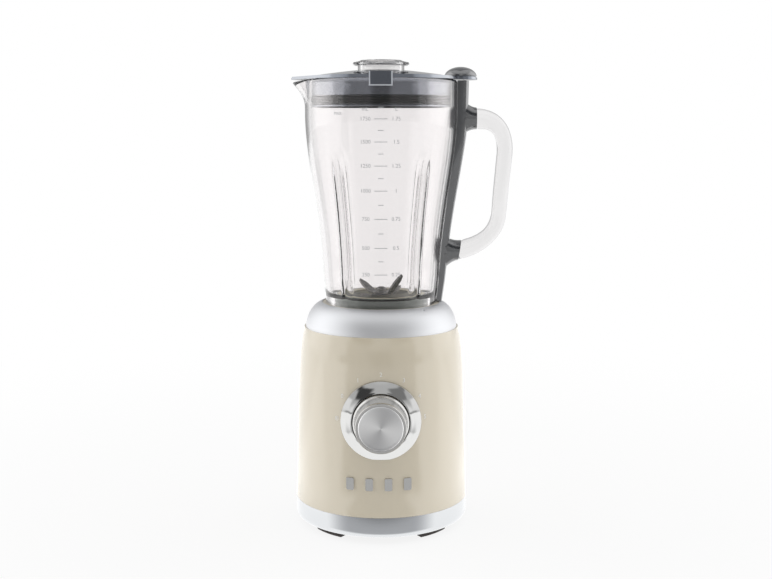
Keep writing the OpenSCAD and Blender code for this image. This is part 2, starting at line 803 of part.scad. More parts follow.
module armature_core() {
    color([0.5, 0.5, 0.52]) translate([0, 0, stator_z]) difference() {
        cylinder(r = armature_r, h = lamination_h, $fn = 96);
        translate([0, 0, -1]) cylinder(r = shaft_r, h = lamination_h + 2);
        armature_slot(3.2, 9) translate([0, 0, -1]) cube([9, 3.2, lamination_h + 2]);
        armature_slot(1.4, 0) translate([-0.5, 0, -1]) cube([4, 1.4, lamination_h + 2]);
    }
}

module armature_windings() {
    color([0.75, 0.42, 0.2]) translate([0, 0, stator_z]) {
        for (end = [0, 1]) translate([0, 0, end * lamination_h]) mirror([0, 0, 1 - end])
            rotate_extrude() polygon([[shaft_r + 1, 0.1], [armature_r - 2, 0.1], [armature_r - 1.4, 3],
                [armature_r - 3, 6.5], [shaft_r + 4, 8], [shaft_r + 1, 7]]);
        armature_slot(3, 8.9) translate([0, 0, -1]) cube([8.7, 3, lamination_h + 2]);
    }
}

module commutator() {
    bars = 24;
    color([0.78, 0.45, 0.25]) translate([0, 0, commutator_z]) difference() {
        cylinder(r = commutator_r, h = commutator_h);
        translate([0, 0, -1]) cylinder(r = shaft_r, h = commutator_h + 2);
        for (i = [0 : bars - 1]) rotate([0, 0, i * 360 / bars])
            translate([commutator_r - 1, -0.25, -1]) cube([3, 0.5, commutator_h + 2]);
    }
}

module cooling_fan() {
    hub_r = 10;
    color([0.2, 0.2, 0.22]) translate([0, 0, fan_z]) difference() {
        union() {
            cylinder(r = fan_r, h = 1.8);
            cylinder(r = hub_r, h = fan_h);
            for (i = [0 : fan_blades - 1]) rotate([0, 0, i * 360 / fan_blades])
                translate([hub_r + 4, 0, 1]) rotate([0, 0, 24]) cube([fan_r - hub_r - 7, 1.6, fan_h - 2]);
        }
        translate([0, 0, -1]) cylinder(r = shaft_r, h = fan_h + 2);
    }
}

module motor_shaft() {
    color([0.7, 0.7, 0.72]) translate([0, 0, shaft_low]) cylinder(r = shaft_r, h = shaft_top - shaft_low);
}

// Six-lobed drive profile, grown by d
module coupler_star(h, d = 0) {
    linear_extrude(height = h) {
        circle(r = coupler_r - tooth_r / 2 + d);
        for (i = [0 : coupler_teeth - 1]) rotate(i * 360 / coupler_teeth)
            translate([coupler_r, 0]) circle(r = tooth_r + d, $fn = 32);
    }
}

module drive_coupler() {
    color([0.2, 0.2, 0.2]) difference() {
        translate([0, 0, coupler_z]) coupler_star(coupler_h);
        translate([0, 0, coupler_z - 1]) cylinder(r = shaft_r, h = shaft_top - coupler_z + 1);
    }
}

// ---- Interlock ----

module interlock_plunger() {
    low = collar_z - 1.5;
    color([0.85, 0.84, 0.8]) translate([rod_low_x, 0, low])
        cylinder(r = plunger_r, h = plunger_top - low, $fn = 32);
}

module interlock_switch() {
    top = collar_z - 2;
    color([0.2, 0.22, 0.26]) {
        translate([rod_low_x - 12, -4, top - sensor_h]) cube([17, 8, sensor_h]);
        translate([rod_low_x - 12, -4, top - 1]) cube([5, 8, 2.9]);
        for (x = [0, 6]) translate([rod_low_x - 9 + x, -0.4, top - sensor_h - 5]) cube([3, 0.8, 6]);
    }
}

// ---- Jug ----

// Outer radius of the plain glass at a height
function glass_r_at(z) = let (
        side = [[rim_r, shoulder_z], [rim_r, shoulder_z - 37],
            [waist_r + 2.4, waist_z + 60], [waist_r, waist_z]])
    z >= shoulder_z ? rim_r
    : z >= waist_z ? bezier_at(side, z)
    : z >= step_z + 5 ? foot_r + 0.6 + (waist_r - foot_r - 0.6) * (z - step_z - 5) / (waist_z - step_z - 5)
    : foot_r - 0.6 + 1.2 * sqrt(1 - pow(1 - max(z - step_z, 0) / 5, 2));
// Radius on a falling curve at a height, found by halving
function bezier_at(p, z, lo = 0, hi = 1, n = 16) = let (t = (lo + hi) / 2, q = bezier(p, t))
    n == 0 ? q[0] : q[1] > z ? bezier_at(p, z, t, hi, n - 1) : bezier_at(p, z, lo, t, n - 1);
// How deep the flutes are at a height
function flute_at(z) = flute_depth * ease(flute_low, flute_low + 10, z)
    * (1 - ease(flute_top - flute_fade, flute_top, z));
// How far the spout stands out at a height
function spout_at(z) = spout_out * pow(ease(rim_z - spout_low, rim_z + 6, z), 1.6) * 1.32;
// Angles round the glass, closer together at the flutes and the spout
function spread(a, b, n) = [for (i = [0 : n - 1]) a + (b - a) * i / n];
flute_turns = [90 - flute_turn, 90 + flute_turn, 270 - flute_turn, 270 + flute_turn];
flute_edge = 10;
ring_angles = concat(spread(0, flute_turns[0] - flute_edge, 9),
    spread(flute_turns[0] - flute_edge, flute_turns[0] + flute_edge, 8),
    spread(flute_turns[0] + flute_edge, flute_turns[1] - flute_edge, 8),
    spread(flute_turns[1] - flute_edge, flute_turns[1] + flute_edge, 8),
    spread(flute_turns[1] + flute_edge, flute_turns[2] - flute_edge, 20),
    spread(flute_turns[2] - flute_edge, flute_turns[2] + flute_edge, 8),
    spread(flute_turns[2] + flute_edge, flute_turns[3] - flute_edge, 8),
    spread(flute_turns[3] - flute_edge, flute_turns[3] + flute_edge, 8),
    spread(flute_turns[3] + flute_edge, 360, 9));
around = len(ring_angles);
// Radius at an angle, from the plain radius, flute depth and spout reach
function glass_r(a, r, flute, spout) = let (
        off = abs(abs((a % 180) - 90) - flute_turn) * PI / 180 * r,
        tip = abs(a - 180) * PI / 180 * r)
    r - flute * (off < flute_half ? pow(cos(off / flute_half * 90), 2) : 0)
    + spout * (tip < spout_half ? pow(cos(tip / spout_half * 90), 1.5) : 0);
function glass_ring(z, r, flute = 0, spout = 0) = [for (a = ring_angles)
    let (q = glass_r(a, r, flute, spout), dip = spout > 0 ? (q - r) * spout_dip : 0)
        [q * cos(a), q * sin(a), z - dip]];

module jug_glass() {
    heights = concat([for (z = [1, 2.5, 5]) step_z + z],
        [for (z = [10 : 5 : 25]) step_z + z],
        [for (i = [1 : 5]) waist_z + (flute_top - flute_fade - waist_z) * i / 5],
        [for (i = [1 : 4]) flute_top - flute_fade + flute_fade * i / 4],
        [for (i = [1 : 3]) flute_top + (shoulder_z - flute_top) * i / 3],
        [for (d = [22, 15, 9, 5, 2.2]) rim_z - d]);
    inside = [for (z = heights) if (z > holder_top + 6 && z < rim_z - 4) z];
    spout = spout_at(rim_z);
    outer = concat([glass_ring(neck_z, neck_r), glass_ring(step_z - 1, neck_r)],
        [glass_ring(step_z, foot_r - 1.6)],
        [for (z = heights) glass_ring(z, glass_r_at(z), flute_at(z), spout_at(z))],
        [glass_ring(rim_z - 0.7, rim_r - 0.3, 0, spout), glass_ring(rim_z, rim_r - lip / 2 - 0.2, 0, spout)]);
    inner = concat([glass_ring(neck_z, neck_bore), glass_ring(holder_top - 1, neck_bore)],
        [for (z = inside) glass_ring(z, glass_r_at(z) - glass_wall, flute_at(z), spout_at(z))],
        [glass_ring(rim_z - 0.8, rim_r - glass_wall, 0, spout)],
        [glass_ring(rim_z, rim_r - glass_wall + lip / 2, 0, spout)]);
    rings = concat(outer, [for (i = [len(inner) - 1 : -1 : 0]) inner[i]]);
    color([0.88, 0.92, 0.93, 0.4]) polyhedron(points = [for (r = rings) each r],
        faces = side_faces(around, len(rings), true), convexity = 8);
}

module jug_base_ring() {
    color([0.35, 0.36, 0.38]) difference() {
        union() {
            tube(ring_r, neck_r + fit_clr, step_z - 1 - ring_z, ring_z);
            tube(ring_r, holder_r - 2, holder_z - ring_z, ring_z);
        }
        at_diagonals(cup_r - 3.4) translate([0, -lug_w / 2 - 0.4, ring_z - 1])
            cube([6, lug_w + 0.8, lug_h + 1.5]);
    }
}

module blade_holder() {
    hub = bush_r + 4;
    low = holder_top - 9;
    bowl = holder_top - dish;
    color([0.5, 0.52, 0.53]) rotate_extrude($fn = 96) polygon([[bush_r, low], [bush_r, boss_top],
        [bush_r + 3, boss_top], [hub + 0.6, bowl], [hub + 8, bowl + 0.3], [holder_r - 9, holder_top - 1.3],
        [holder_r - 5, holder_top - 0.2], [holder_r - 3, holder_top], [holder_r - 1, holder_top - 0.6],
        [holder_r, holder_top - 2.4], [holder_r, neck_z], [holder_r, holder_z + holder_flange_t],
        [neck_r - 0.2, holder_z + holder_flange_t], [neck_r - 0.2, holder_z], [holder_r - 2.5, holder_z],
        [holder_r - 2.5, holder_top - 4.5], [holder_r - 9, holder_top - 4.5], [hub + 8, bowl - 2.2],
        [hub, bowl - 2.2], [hub, low]]);
}

module blade_seal() {
    color([0.75, 0.3, 0.2]) tube(neck_r - 0.2, holder_r + 0.1, seal_t, holder_z + holder_flange_t);
}

module blade_bush() {
    low = holder_top - 9;
    color([0.72, 0.55, 0.3]) tube(bush_r, shaft_r + run_clr, boss_top - low, low);
}

module driven_coupler() {
    color([0.25, 0.25, 0.26]) difference() {
        union() {
            translate([0, 0, driven_z]) cylinder(r = driven_r, h = coupler_h + 1.4);
            translate([0, 0, driven_z]) cylinder(r = shaft_r + 2, h = driven_h);
        }
        translate([0, 0, driven_z - 1]) coupler_star(coupler_h + 0.6, 0.4);
        translate([0, 0, driven_z + coupler_h]) cylinder(r = shaft_r, h = driven_h);
    }
}

module blade_shaft() {
    low = driven_z + coupler_h;
    step = boss_top + 0.6;
    color([0.75, 0.75, 0.76]) {
        translate([0, 0, low]) cylinder(r = shaft_r, h = step - low);
        translate([0, 0, step - eps]) cylinder(r = shaft_r - 1, h = nut_z + nut_flats_h - 0.6 - step);
        translate([0, 0, boss_top + 0.3]) cylinder(r = shaft_r + 2, h = lower_blade_z - boss_top - 0.3);
    }
}

// One blade, rising at an angle just inside the end of the flat root, with a point and a ground edge
module blade_arm(rise, reach) {
    start = blade_root_l - 0.2;
    run = reach - start;
    side = blade_root_half - 0.1;
    bevel = [[-side - 1, -1], [-side - 1, 0.2], [-side + 2.4, blade_t + 0.1], [side + 1, blade_t + 0.1],
        [side + 1, -1]];
    translate([start, 0, 0]) rotate([0, -rise, 0]) intersection() {
        linear_extrude(height = blade_t)
            polygon([[-0.5, -side], [run - 5, -side * 0.4], [run, 0.6], [run - 1.5, side * 0.55],
                [run - 8, side], [-0.5, side]]);
        rotate([90, 0, 90]) translate([0, 0, -2]) linear_extrude(height = run + 4) polygon(bevel);
    }
}

// Two bent blades of one piece of steel, with the hole for the shaft
module blade_pair(z, rises, reaches, turn) {
    half = [[0, -blade_w / 2], [blade_root_l, -blade_root_half], [blade_root_l, blade_root_half]];
    color([0.72, 0.72, 0.74]) translate([0, 0, z]) rotate([0, 0, turn]) difference() {
        union() {
            linear_extrude(height = blade_t) {
                circle(r = blade_root_r);
                polygon(concat(half, -half));
            }
            for (i = [0, 1]) rotate([0, 0, 180 * (1 - i)]) blade_arm(rises[i], reaches[i]);
        }
        translate([0, 0, -1]) cylinder(r = shaft_r - 1, h = blade_t + 2);
    }
}

module upper_blade() {
    blade_pair(upper_blade_z, upper_rise, upper_reach, blade_turn);
}

module lower_blade() {
    blade_pair(lower_blade_z, lower_rise, [lower_reach, lower_reach], blade_turn + 90);
}

module blade_nut() {
    cap = [for (a = [0 : 18 : 90]) [4.2 * cos(a), nut_cap_h * sin(a)]];
    color([0.78, 0.78, 0.8]) difference() {
        union() {
            tube(5.6, shaft_r - 1, 0.4, lower_blade_z + blade_t);
            translate([0, 0, nut_z]) cylinder(r = 5, h = nut_flats_h, $fn = 6);
            translate([0, 0, nut_z + nut_flats_h - eps]) rotate_extrude($fn = 48)
                polygon(concat([[0, 0]], cap));
        }
        translate([0, 0, nut_z - 1]) cylinder(r = shaft_r - 1, h = nut_flats_h + 0.8);
    }
}

// ---- Handle ----

function spine_t_at(z) = let (t = (z - spine_low_z) / (spine_high_z - spine_low_z))
    spine_low_t + (spine_top_t - spine_low_t) * pow(t, 0.9);
function spine_w_at(z) = let (t = (z - spine_low_z) / (spine_high_z - spine_low_z))
    spine_half_w - 1.6 * (1 - t);

// Level section of the spine: hollow against the glass, crowned outside
function spine_ring(z) = let (
        r = glass_r_at(z) + fit_clr,
        t = spine_t_at(z) - fit_clr,
        w = spine_w_at(z))
    concat([for (i = [-3 : 3]) let (y = -w * i / 3) [sqrt(r * r - y * y), y, z]],
        [for (i = [0 : 8]) let (a = -90 + 180 * i / 8, out = r + t * 0.35 + t * 0.65 * pow(abs(cos(a)), 0.55))
            [out, w * sign(sin(a)) * pow(abs(sin(a)), 0.8), z]]);

// Local z runs up the safety rod, from its lower end
module along_rod(z = 0) {
    translate([rod_low_x, 0, rod_low_z]) rotate([0, rod_lean, 0]) translate([0, 0, z]) children();
}

// Middle line of the grip, from the upper collar round to the lower one
grip_high = [grip_out, grip_top_z - 30];
grip_deep = [grip_out - grip_lean, grip_low_z + 32];
grip_curve = concat(
    [for (i = [0 : 9]) bezier([[grip_top_x, grip_top_z], [grip_top_x + 15, grip_top_z],
        [grip_out + 1, grip_top_z - 8], grip_high], i / 9)],
    [for (i = [1 : 2]) grip_high + (grip_deep - grip_high) * i / 3],
    [for (i = [0 : 9]) bezier([grip_deep, [grip_out - grip_lean - 1.6, grip_low_z + 13],
        [grip_low_x + 16, grip_low_z + 3.5], [grip_low_x, grip_low_z]], i / 9)]);

function grip_dir(i) = let (
        a = grip_curve[max(i - 1, 0)],
        b = grip_curve[min(i + 1, len(grip_curve) - 1)])
    (b - a) / norm(b - a);
// Ring of the grip's section, thicker where it enters the collars
function grip_ring(i, grow = 0) = let (
        n = len(grip_curve) - 1,
        d = i == 0 ? [1, 0] : i == n ? [-cos(grip_end_tilt), -sin(grip_end_tilt)] : grip_dir(i),
        swell = 1 + 0.3 * (1 - ease(0, 0.34, i / n)) + 0.22 * ease(0.72, 1, i / n),
        t = grip_t / 2 * swell + grow,
        w = grip_w / 2 + grow)
    [for (k = [0 : 19]) let (
            a = k * 18,
            u = t * sign(cos(a)) * pow(abs(cos(a)), 0.82),
            v = -w * sign(sin(a)) * pow(abs(sin(a)), 0.82))
        [grip_curve[i][0] - d[1] * u, v, grip_curve[i][1] + d[0] * u]];
module spigots(r, h) {
    translate([grip_top_x - h, 0, grip_top_z]) rotate([0, 90, 0]) cylinder(r = r, h = h + 3, $fn = 32);
    translate([grip_low_x, 0, grip_low_z]) rotate([0, -90 - grip_end_tilt, 0])
        translate([0, 0, -3]) cylinder(r = r, h = h + 3, $fn = 32);
}

module handle_grip() {
    color([0.9, 0.93, 0.94, 0.45]) {
        loft([for (i = [0 : len(grip_curve) - 1]) grip_ring(i)]);
        spigots(spigot_r, 5);
    }
}

// Flared socket between the spine and one end of the grip, in the grip's own direction
module grip_socket(i, root) {
    rows = socket_rows;
    end = grip_ring(i, 0.9);
    c = [grip_curve[i][0], 0, grip_curve[i][1]];
    loft([for (k = [0 : rows]) let (s = (i == 0 ? k : rows - k) / rows, f = 1 + socket_flare * pow(1 - s, 2))
        [for (p = end) let (q = p - c)
            c + (root - c) * (1 - s) + [q[0] * s, q[1] * (0.62 + 0.38 * s), q[2] * f]]]);
}

module handle_spine() {
    steps = 20;
    n = len(grip_curve) - 1;
    rings = [for (i = [0 : steps]) spine_ring(spine_low_z + (spine_high_z - spine_low_z) * i / steps)];
    color([0.38, 0.39, 0.4]) difference() {
        union() {
            loft(rings);
            grip_socket(0, [rim_r + 5, 0, grip_top_z + 1]);
            grip_socket(n, [glass_r_at(grip_low_z) + 3.4, 0, grip_low_z - 2]);
        }
        spigots(spigot_r + 0.1, 5.2);
        along_rod(-5) cylinder(r = rod_r + run_clr, h = rod_len + 10, $fn = 32);
        along_rod(rod_len - pocket_h) cylinder(r = pocket_r, h = pocket_h + 5, $fn = 32);
    }
}

module safety_rod() {
    top = (pin_top - rod_low_z) / cos(rod_lean);
    color([0.15, 0.15, 0.16]) {
        along_rod() cylinder(r = rod_r, h = top - 3, $fn = 32);
        along_rod(rod_len - 4) cylinder(r = pin_r, h = top - rod_len + 4 - 0.4, $fn = 32);
        along_rod(rod_len - 4 + eps) cylinder(r = pin_r - 0.5, h = top - rod_len + 4, $fn = 32);
    }
}

module rod_spring() {
    turns = 6;
    wire = 0.35;
    per_turn = 12;
    low = rod_len - pocket_h + wire + 0.1;
    pitch = (pocket_h - 4 - 2 * wire - 0.3) / turns;
    mid = (rod_r + pocket_r) / 2 + 0.05;
    color([0.7, 0.7, 0.72]) along_rod(low) loft([for (i = [0 : turns * per_turn]) let (
            a = i * 360 / per_turn, h = pitch * i / per_turn)
        [for (k = [0 : 4]) let (q = k * 72)
            [(mid + wire * cos(q)) * cos(a), (mid + wire * cos(q)) * sin(a), h - wire * sin(q)]]]);
}

// ---- Lid ----

// Level outline of the flange: a disc, a pointed spout cover and a thumb lobe
module lid_outline(grow = 0) {
    reach = spout_tip_x;
    tilt = acos((lid_r - spout_tip_r) / reach);
    circle(r = lid_r + grow, $fn = 128);
    translate([-reach, 0]) circle(r = spout_tip_r + grow, $fn = 32);
    polygon([for (s = [[1, 0], [1, 1], [-1, 1], [-1, 0]])
        let (r = (s[1] == 1 ? spout_tip_r : lid_r) + grow)
            [-s[1] * reach - r * cos(tilt), s[0] * r * sin(tilt)]]);
    translate([thumb_x, 0]) circle(r = thumb_r + 0.4 + grow);
}

// Rounded top of the lid between its edge and the filler neck, lowered by d
function dome_curve(d, inset, rows) = [for (i = [0 : rows]) let (s = i / rows)
    [lid_r - 4 - inset - (lid_r - 9 - inset - filler_r) * s,
        flange_top - d + dome_h * (0.8 * s + 0.2 * sin(90 * s))]];

module dome_solid() {
    rotate_extrude($fn = 96) polygon(concat([[filler_r, flange_z], [lid_r - 4, flange_z]],
        dome_curve(0, 0, 6), [[filler_r, neck_top]]));
}

module lid_tab() {
    out_r = lid_r + tab_t;
    difference() {
        intersection() {
            tube(out_r, lid_r - 1.2, 12, rim_z - tab_drop);
            translate([-tab_w / 2, 0, rim_z - 10]) cube([tab_w, out_r + 5, 30]);
        }
        translate([0, 0, rim_z - 10]) cylinder(r = rim_r + 0.4, h = 10 + lift_clr, $fn = 96);
        intersection() {
            tube(out_r + 5, out_r - 0.7, 12, rim_z - tab_drop + 1.1);
            translate([-tab_w / 2 + 1.1, 0, rim_z - 10]) cube([tab_w - 2.2, out_r + 5, 30]);
        }
    }
}

module lid() {
    low = rim_z - plug_h;
    skirt_in = plug_r - plug_wall;
    neck_in = filler_r + 2.4;
    color([0.4, 0.41, 0.42]) difference() {
        union() {
            translate([0, 0, flange_z]) linear_extrude(height = flange_t - 0.8) lid_outline();
            translate([0, 0, flange_top - 0.8 - eps]) linear_extrude(height = 0.8) lid_outline(-0.7);
            dome_solid();
            tube(plug_r, skirt_in - 2, plug_h + 1, low);
            for (a = [0, 180]) rotate([0, 0, a]) lid_tab();
        }
        // Underside, with a thicker rib behind the seal
        rotate_extrude($fn = 96) polygon(concat([[0, low - 1], [skirt_in - 2, low - 1],
            [skirt_in - 2, rim_z - seal_high + 0.5], [skirt_in, rim_z - seal_high + 3],
            [skirt_in, flange_z]],
            dome_curve(dome_t, dome_t, 5),
            [[neck_in, neck_top - dome_t], [neck_in, flange_z - 8], [0, flange_z - 8]]));
        tube(plug_r + 2, plug_r - 2.4, seal_h, rim_z - seal_high - seal_h);
        translate([0, 0, low - 2]) cylinder(r = filler_r, h = plug_h + 30);
    }
}

module lid_seal() {
    z = rim_z - seal_high - seal_h;
    rib = plug_r + 0.6;
    root = plug_r - 0.3;
    pitch = (seal_h - 0.6) / seal_ribs;
    ribs = [for (i = [0 : seal_ribs - 1]) let (low = z + 0.5 + i * pitch)
        each [[root, low], [rib, low + 0.6], [rib, low + pitch - 1.4], [root, low + pitch - 0.8]]];
    color([0.07, 0.07, 0.08]) rotate_extrude($fn = 96) polygon(concat(
        [[plug_r - 2.3, z + 0.1], [root, z + 0.1]], ribs,
        [[root, z + seal_h - 0.1], [plug_r - 2.3, z + seal_h - 0.1]]));
}

module thumb_piece() {
    color([0.27, 0.28, 0.29]) difference() {
        translate([thumb_x, 0, flange_top]) rotate_extrude() polygon(concat([[0, 0], [thumb_r - 0.6, 0]],
            [for (a = [4 : 8.6 : 90]) [thumb_r * cos(a), thumb_h * sin(a)]], [[0, thumb_h]]));
        dome_solid();
    }
}

module measuring_cap() {
    seat = neck_top + lift_clr;
    top = seat + cap_h;
    low = top - 4.4;
    wall_in = cap_r - cap_wall;
    neck = filler_r + 1.2;
    color([0.93, 0.94, 0.95, 0.4]) rotate_extrude($fn = 96) polygon([
        [cap_r, rim_z - cap_depth], [cap_r, seat], [neck, seat], [neck, low],
        [cap_flange_r - 1.4, low], [cap_flange_r - 0.4, low + 0.5], [cap_flange_r, low + 1.4],
        [cap_flange_r - 0.3, low + 2.3], [cap_flange_r - 1.3, low + 2.8], [cap_r + 2.6, low + 3],
        [cap_r + 0.2, top - 0.5], [cap_r - 0.8, top], [0, top], [0, top - 2],
        [wall_in - 2.4, top - 2], [wall_in - 0.6, top - 3], [wall_in, top - 5],
        [wall_in, rim_z - cap_depth]]);
}

housing_shell();
top_collar();
bottom_skirt();
base_plate();
rubber_feet();
base_screws();
seat_cup();
cord_gland();
trim_bars();
knob_bezel();
switch_body();
switch_nut();
control_board();
mains_filter();
stator_core();
field_coils();
upper_bracket();
lower_bracket();
upper_bearing();
lower_bearing();
brush_holders();
carbon_brushes();
motor_bolts();
motor_dampers();
interlock_switch();
interlock_plunger();
motor_shaft();
armature_core();
armature_windings();
commutator();
cooling_fan();
drive_coupler();
knob_body();
knob_face();
knob_spindle();
jug_glass();
handle_spine();
handle_grip();
jug_base_ring();
blade_holder();
blade_seal();
blade_bush();
rod_spring();
safety_rod();
blade_shaft();
upper_blade();
lower_blade();
blade_nut();
driven_coupler();
lid();
lid_seal();
thumb_piece();
measuring_cap();
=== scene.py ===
import json
import math
import bpy
import bmesh
from mathutils import Matrix, Vector


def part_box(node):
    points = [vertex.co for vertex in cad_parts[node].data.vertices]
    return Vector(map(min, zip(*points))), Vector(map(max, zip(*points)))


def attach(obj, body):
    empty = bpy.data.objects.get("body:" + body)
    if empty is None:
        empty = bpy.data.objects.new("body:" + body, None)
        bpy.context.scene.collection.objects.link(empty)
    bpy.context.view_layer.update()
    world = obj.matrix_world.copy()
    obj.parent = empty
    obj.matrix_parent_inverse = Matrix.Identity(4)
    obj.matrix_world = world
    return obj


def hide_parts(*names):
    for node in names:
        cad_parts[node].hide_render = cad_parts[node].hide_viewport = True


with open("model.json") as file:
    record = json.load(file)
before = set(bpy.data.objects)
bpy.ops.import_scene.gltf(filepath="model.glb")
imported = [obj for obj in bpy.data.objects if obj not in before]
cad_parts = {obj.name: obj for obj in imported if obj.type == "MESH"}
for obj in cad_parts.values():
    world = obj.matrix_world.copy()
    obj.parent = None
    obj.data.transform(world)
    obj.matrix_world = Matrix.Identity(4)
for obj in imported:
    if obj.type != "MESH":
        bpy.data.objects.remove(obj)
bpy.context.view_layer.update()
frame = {"nodes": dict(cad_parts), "record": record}
nodes = frame["nodes"]
mm = 0.001               # sizes below are in millimetres where they are multiplied by this
print("frame loaded,", len(nodes), "nodes")


class Wire:  # one output in a node tree, so that its maths can be written as sums
    def __init__(self, graph, node, socket):
        self.graph = graph
        self.node = node
        self.socket = socket

    def out(self, name):  # another output of the same node
        return Wire(self.graph, self.node, self.node.outputs[name])

    def maths(self, operation, *values):
        return self.graph.add("ShaderNodeMath", {"operation": operation}, dict(enumerate(values)))

    def __add__(self, other):
        return self.maths("ADD", self, other)

    def __radd__(self, other):
        return self.maths("ADD", other, self)

    def __sub__(self, other):
        return self.maths("SUBTRACT", self, other)

    def __rsub__(self, other):
        return self.maths("SUBTRACT", other, self)

    def __mul__(self, other):
        return self.maths("MULTIPLY", self, other)

    def __rmul__(self, other):
        return self.maths("MULTIPLY", other, self)

    def __truediv__(self, other):
        return self.maths("DIVIDE", self, other)

    def __rtruediv__(self, other):
        return self.maths("DIVIDE", other, self)

    def __pow__(self, other):
        return self.maths("POWER", self, other)

    def __mod__(self, other):
        return self.maths("MODULO", self, other)

    def __neg__(self):
        return self.maths("MULTIPLY", self, -1.0)

    def __abs__(self):
        return self.maths("ABSOLUTE", self)

    def __gt__(self, other):
        return self.maths("GREATER_THAN", self, other)

    def __lt__(self, other):
        return self.maths("LESS_THAN", self, other)

    def floor(self):
        return self.maths("FLOOR", self)

    def sin(self):
        return self.maths("SINE", self)

    def cos(self):
        return self.maths("COSINE", self)

    def clamp(self):  # kept between 0 and 1
        return self.maths("MINIMUM", self.maths("MAXIMUM", self, 0.0), 1.0)

    def step(self, low, high):  # 0 below low, 1 above high, smooth between
        sockets = {"Value": self, "From Min": low, "From Max": high}
        return self.graph.add("ShaderNodeMapRange", {"interpolation_type": "SMOOTHSTEP"}, sockets)


class Graph:  # a node tree that is filled from the script
    def __init__(self, tree):
        self.tree = tree
        tree.nodes.clear()

    def add(self, kind, settings=None, sockets=None, output=0):
        node = self.tree.nodes.new(kind)
        for name, value in (settings or {}).items():
            setattr(node, name, value)
        for name, value in (sockets or {}).items():
            if isinstance(value, Wire):
                self.tree.links.new(value.socket, node.inputs[name])
            else:
                node.inputs[name].default_value = value
        return Wire(self, node, node.outputs[output] if len(node.outputs) else None)

    def objectPlace(self):
        return self.add("ShaderNodeTexCoord", output="Object")

    def parts(self, vector):  # x, y and z of a vector, for sums
        split = self.add("ShaderNodeSeparateXYZ", {}, {0: vector})
        return split, split.out("Y"), split.out("Z")

    def vector(self, x, y, z):
        return self.add("ShaderNodeCombineXYZ", {}, {0: x, 1: y, 2: z})

    def noise(self, vector, scale, detail, roughness=0.5):
        sockets = {"Vector": vector, "Scale": scale, "Detail": detail, "Roughness": roughness}
        return self.add("ShaderNodeTexNoise", {}, sockets)

    def mixColours(self, factor, first, second):
        sockets = {0: factor, 6: first, 7: second}  # the node's colour sockets by their numbers
        return self.add("ShaderNodeMix", {"data_type": "RGBA"}, sockets, output=2)

    def facing(self):  # 0 where a surface is looked at squarely, 1 at its outline
        return self.add("ShaderNodeLayerWeight", {}, {"Blend": 0.5}, output="Facing")

    def bump(self, height, strength, distance):
        sockets = {"Height": height, "Strength": strength, "Distance": distance}
        return self.add("ShaderNodeBump", {}, sockets)


def shade(red, green, blue):  # a screen colour of 0 to 255 as the shader wants it
    def linear(value):
        value /= 255
        return value / 12.92 if value <= 0.04045 else ((value + 0.055) / 1.055) ** 2.4
    return (linear(red), linear(green), linear(blue), 1.0)


def reachOf(across, along):  # distance from an axis
    return (across * across + along * along) ** 0.5


def newFinish(name, build, **fixed):  # build gives what varies, fixed is the same all over
    material = bpy.data.materials.new(name)
    material.use_nodes = True
    graph = Graph(material.node_tree)
    varied = build(graph)
    surface = graph.add("ShaderNodeBsdfPrincipled", {}, {**fixed, **varied})
    graph.add("ShaderNodeOutputMaterial", {}, {"Surface": surface})
    return material


def paintCream(graph):
    place = graph.objectPlace()
    cloud = graph.noise(place, 14.0, 3.0)
    peel = graph.noise(place, 950.0, 1.0)
    tone = graph.mixColours(cloud, shade(217, 206, 182), shade(221, 210, 187))
    return {
        "Base Color": tone,
        "Roughness": 0.36 + 0.07 * cloud,
        "Normal": graph.bump(peel, 0.10, 0.00012),
    }


def turnedGrain(graph, x, y, z):  # fine brushing round the machine's axis
    return graph.noise(graph.vector(x * 30.0, y * 30.0, z * 2600.0), 1.0, 2.0)


def metalSatin(dark, light, rough):  # silver lacquered metal
    def build(graph):
        place = graph.objectPlace()
        grain = turnedGrain(graph, *graph.parts(place))
        cloud = graph.noise(place, 25.0, 2.0)
        return {
            "Base Color": graph.mixColours(grain, shade(*dark), shade(*light)),
            "Roughness": rough + 0.09 * grain + 0.04 * cloud,
            "Normal": graph.bump(grain, 0.06, 0.00006),
        }
    return build


def skirtSheenPainted(graph):  # the foot's silver band, its colour darker where it is faced squarely and paler towards its outline, a painted sheen and painted reflection
    grain = turnedGrain(graph, *graph.parts(graph.objectPlace()))
    paintedSheen = graph.facing().step(0.12, 0.29)
    return {
        # painted sheen and painted reflection: deep grey where the band is faced squarely, pale towards its
        # outline
        "Base Color": graph.mixColours(paintedSheen, shade(142, 144, 147), shade(202, 204, 206)),
        "Roughness": 0.19 + 0.09 * grain,
        "Normal": graph.bump(grain, 0.06, 0.00006),
    }


def mottled(scale, dark, light, rough, spread, detail=3.0, soft=0.5, strength=0.0, depth=0.0):
    def build(graph):  # one noise for tone and gloss, and for relief where it has a strength
        spots = graph.noise(graph.objectPlace(), scale, detail, soft)
        varied = {
            "Base Color": graph.mixColours(spots, shade(*dark), shade(*light)),
            "Roughness": rough + spread * spots,
        }
        if strength:
            varied["Normal"] = graph.bump(spots, strength, depth)
        return varied
    return build


def faceSpun(graph):  # turned metal: fine rings round the knob's axis, and broad soft wedges round it painted into its colour as a painted highlight
    x, _, z = graph.parts(graph.objectPlace())
    up = z - knobHeight
    radius = reachOf(x, up)
    angle = up.maths("ARCTAN2", up, x)
    rings = graph.noise(graph.vector(radius * 5200.0, 0.0, 0.0), 1.0, 1.0)
    # painted highlight: the face is paler and darker in broad wedges, as the spun metal would catch the light
    wedgeHighlight = 0.5 + 0.5 * (2.0 * angle + 2.2).sin()
    tone = graph.mixColours(wedgeHighlight, shade(206, 206, 207), shade(253, 253, 253))
    return {
        "Base Color": graph.mixColours(0.2 * rings, tone, shade(170, 170, 170)),
        "Roughness": 0.30 + 0.10 * rings,
        "Normal": graph.bump(rings, 0.30, 0.00005),
    }


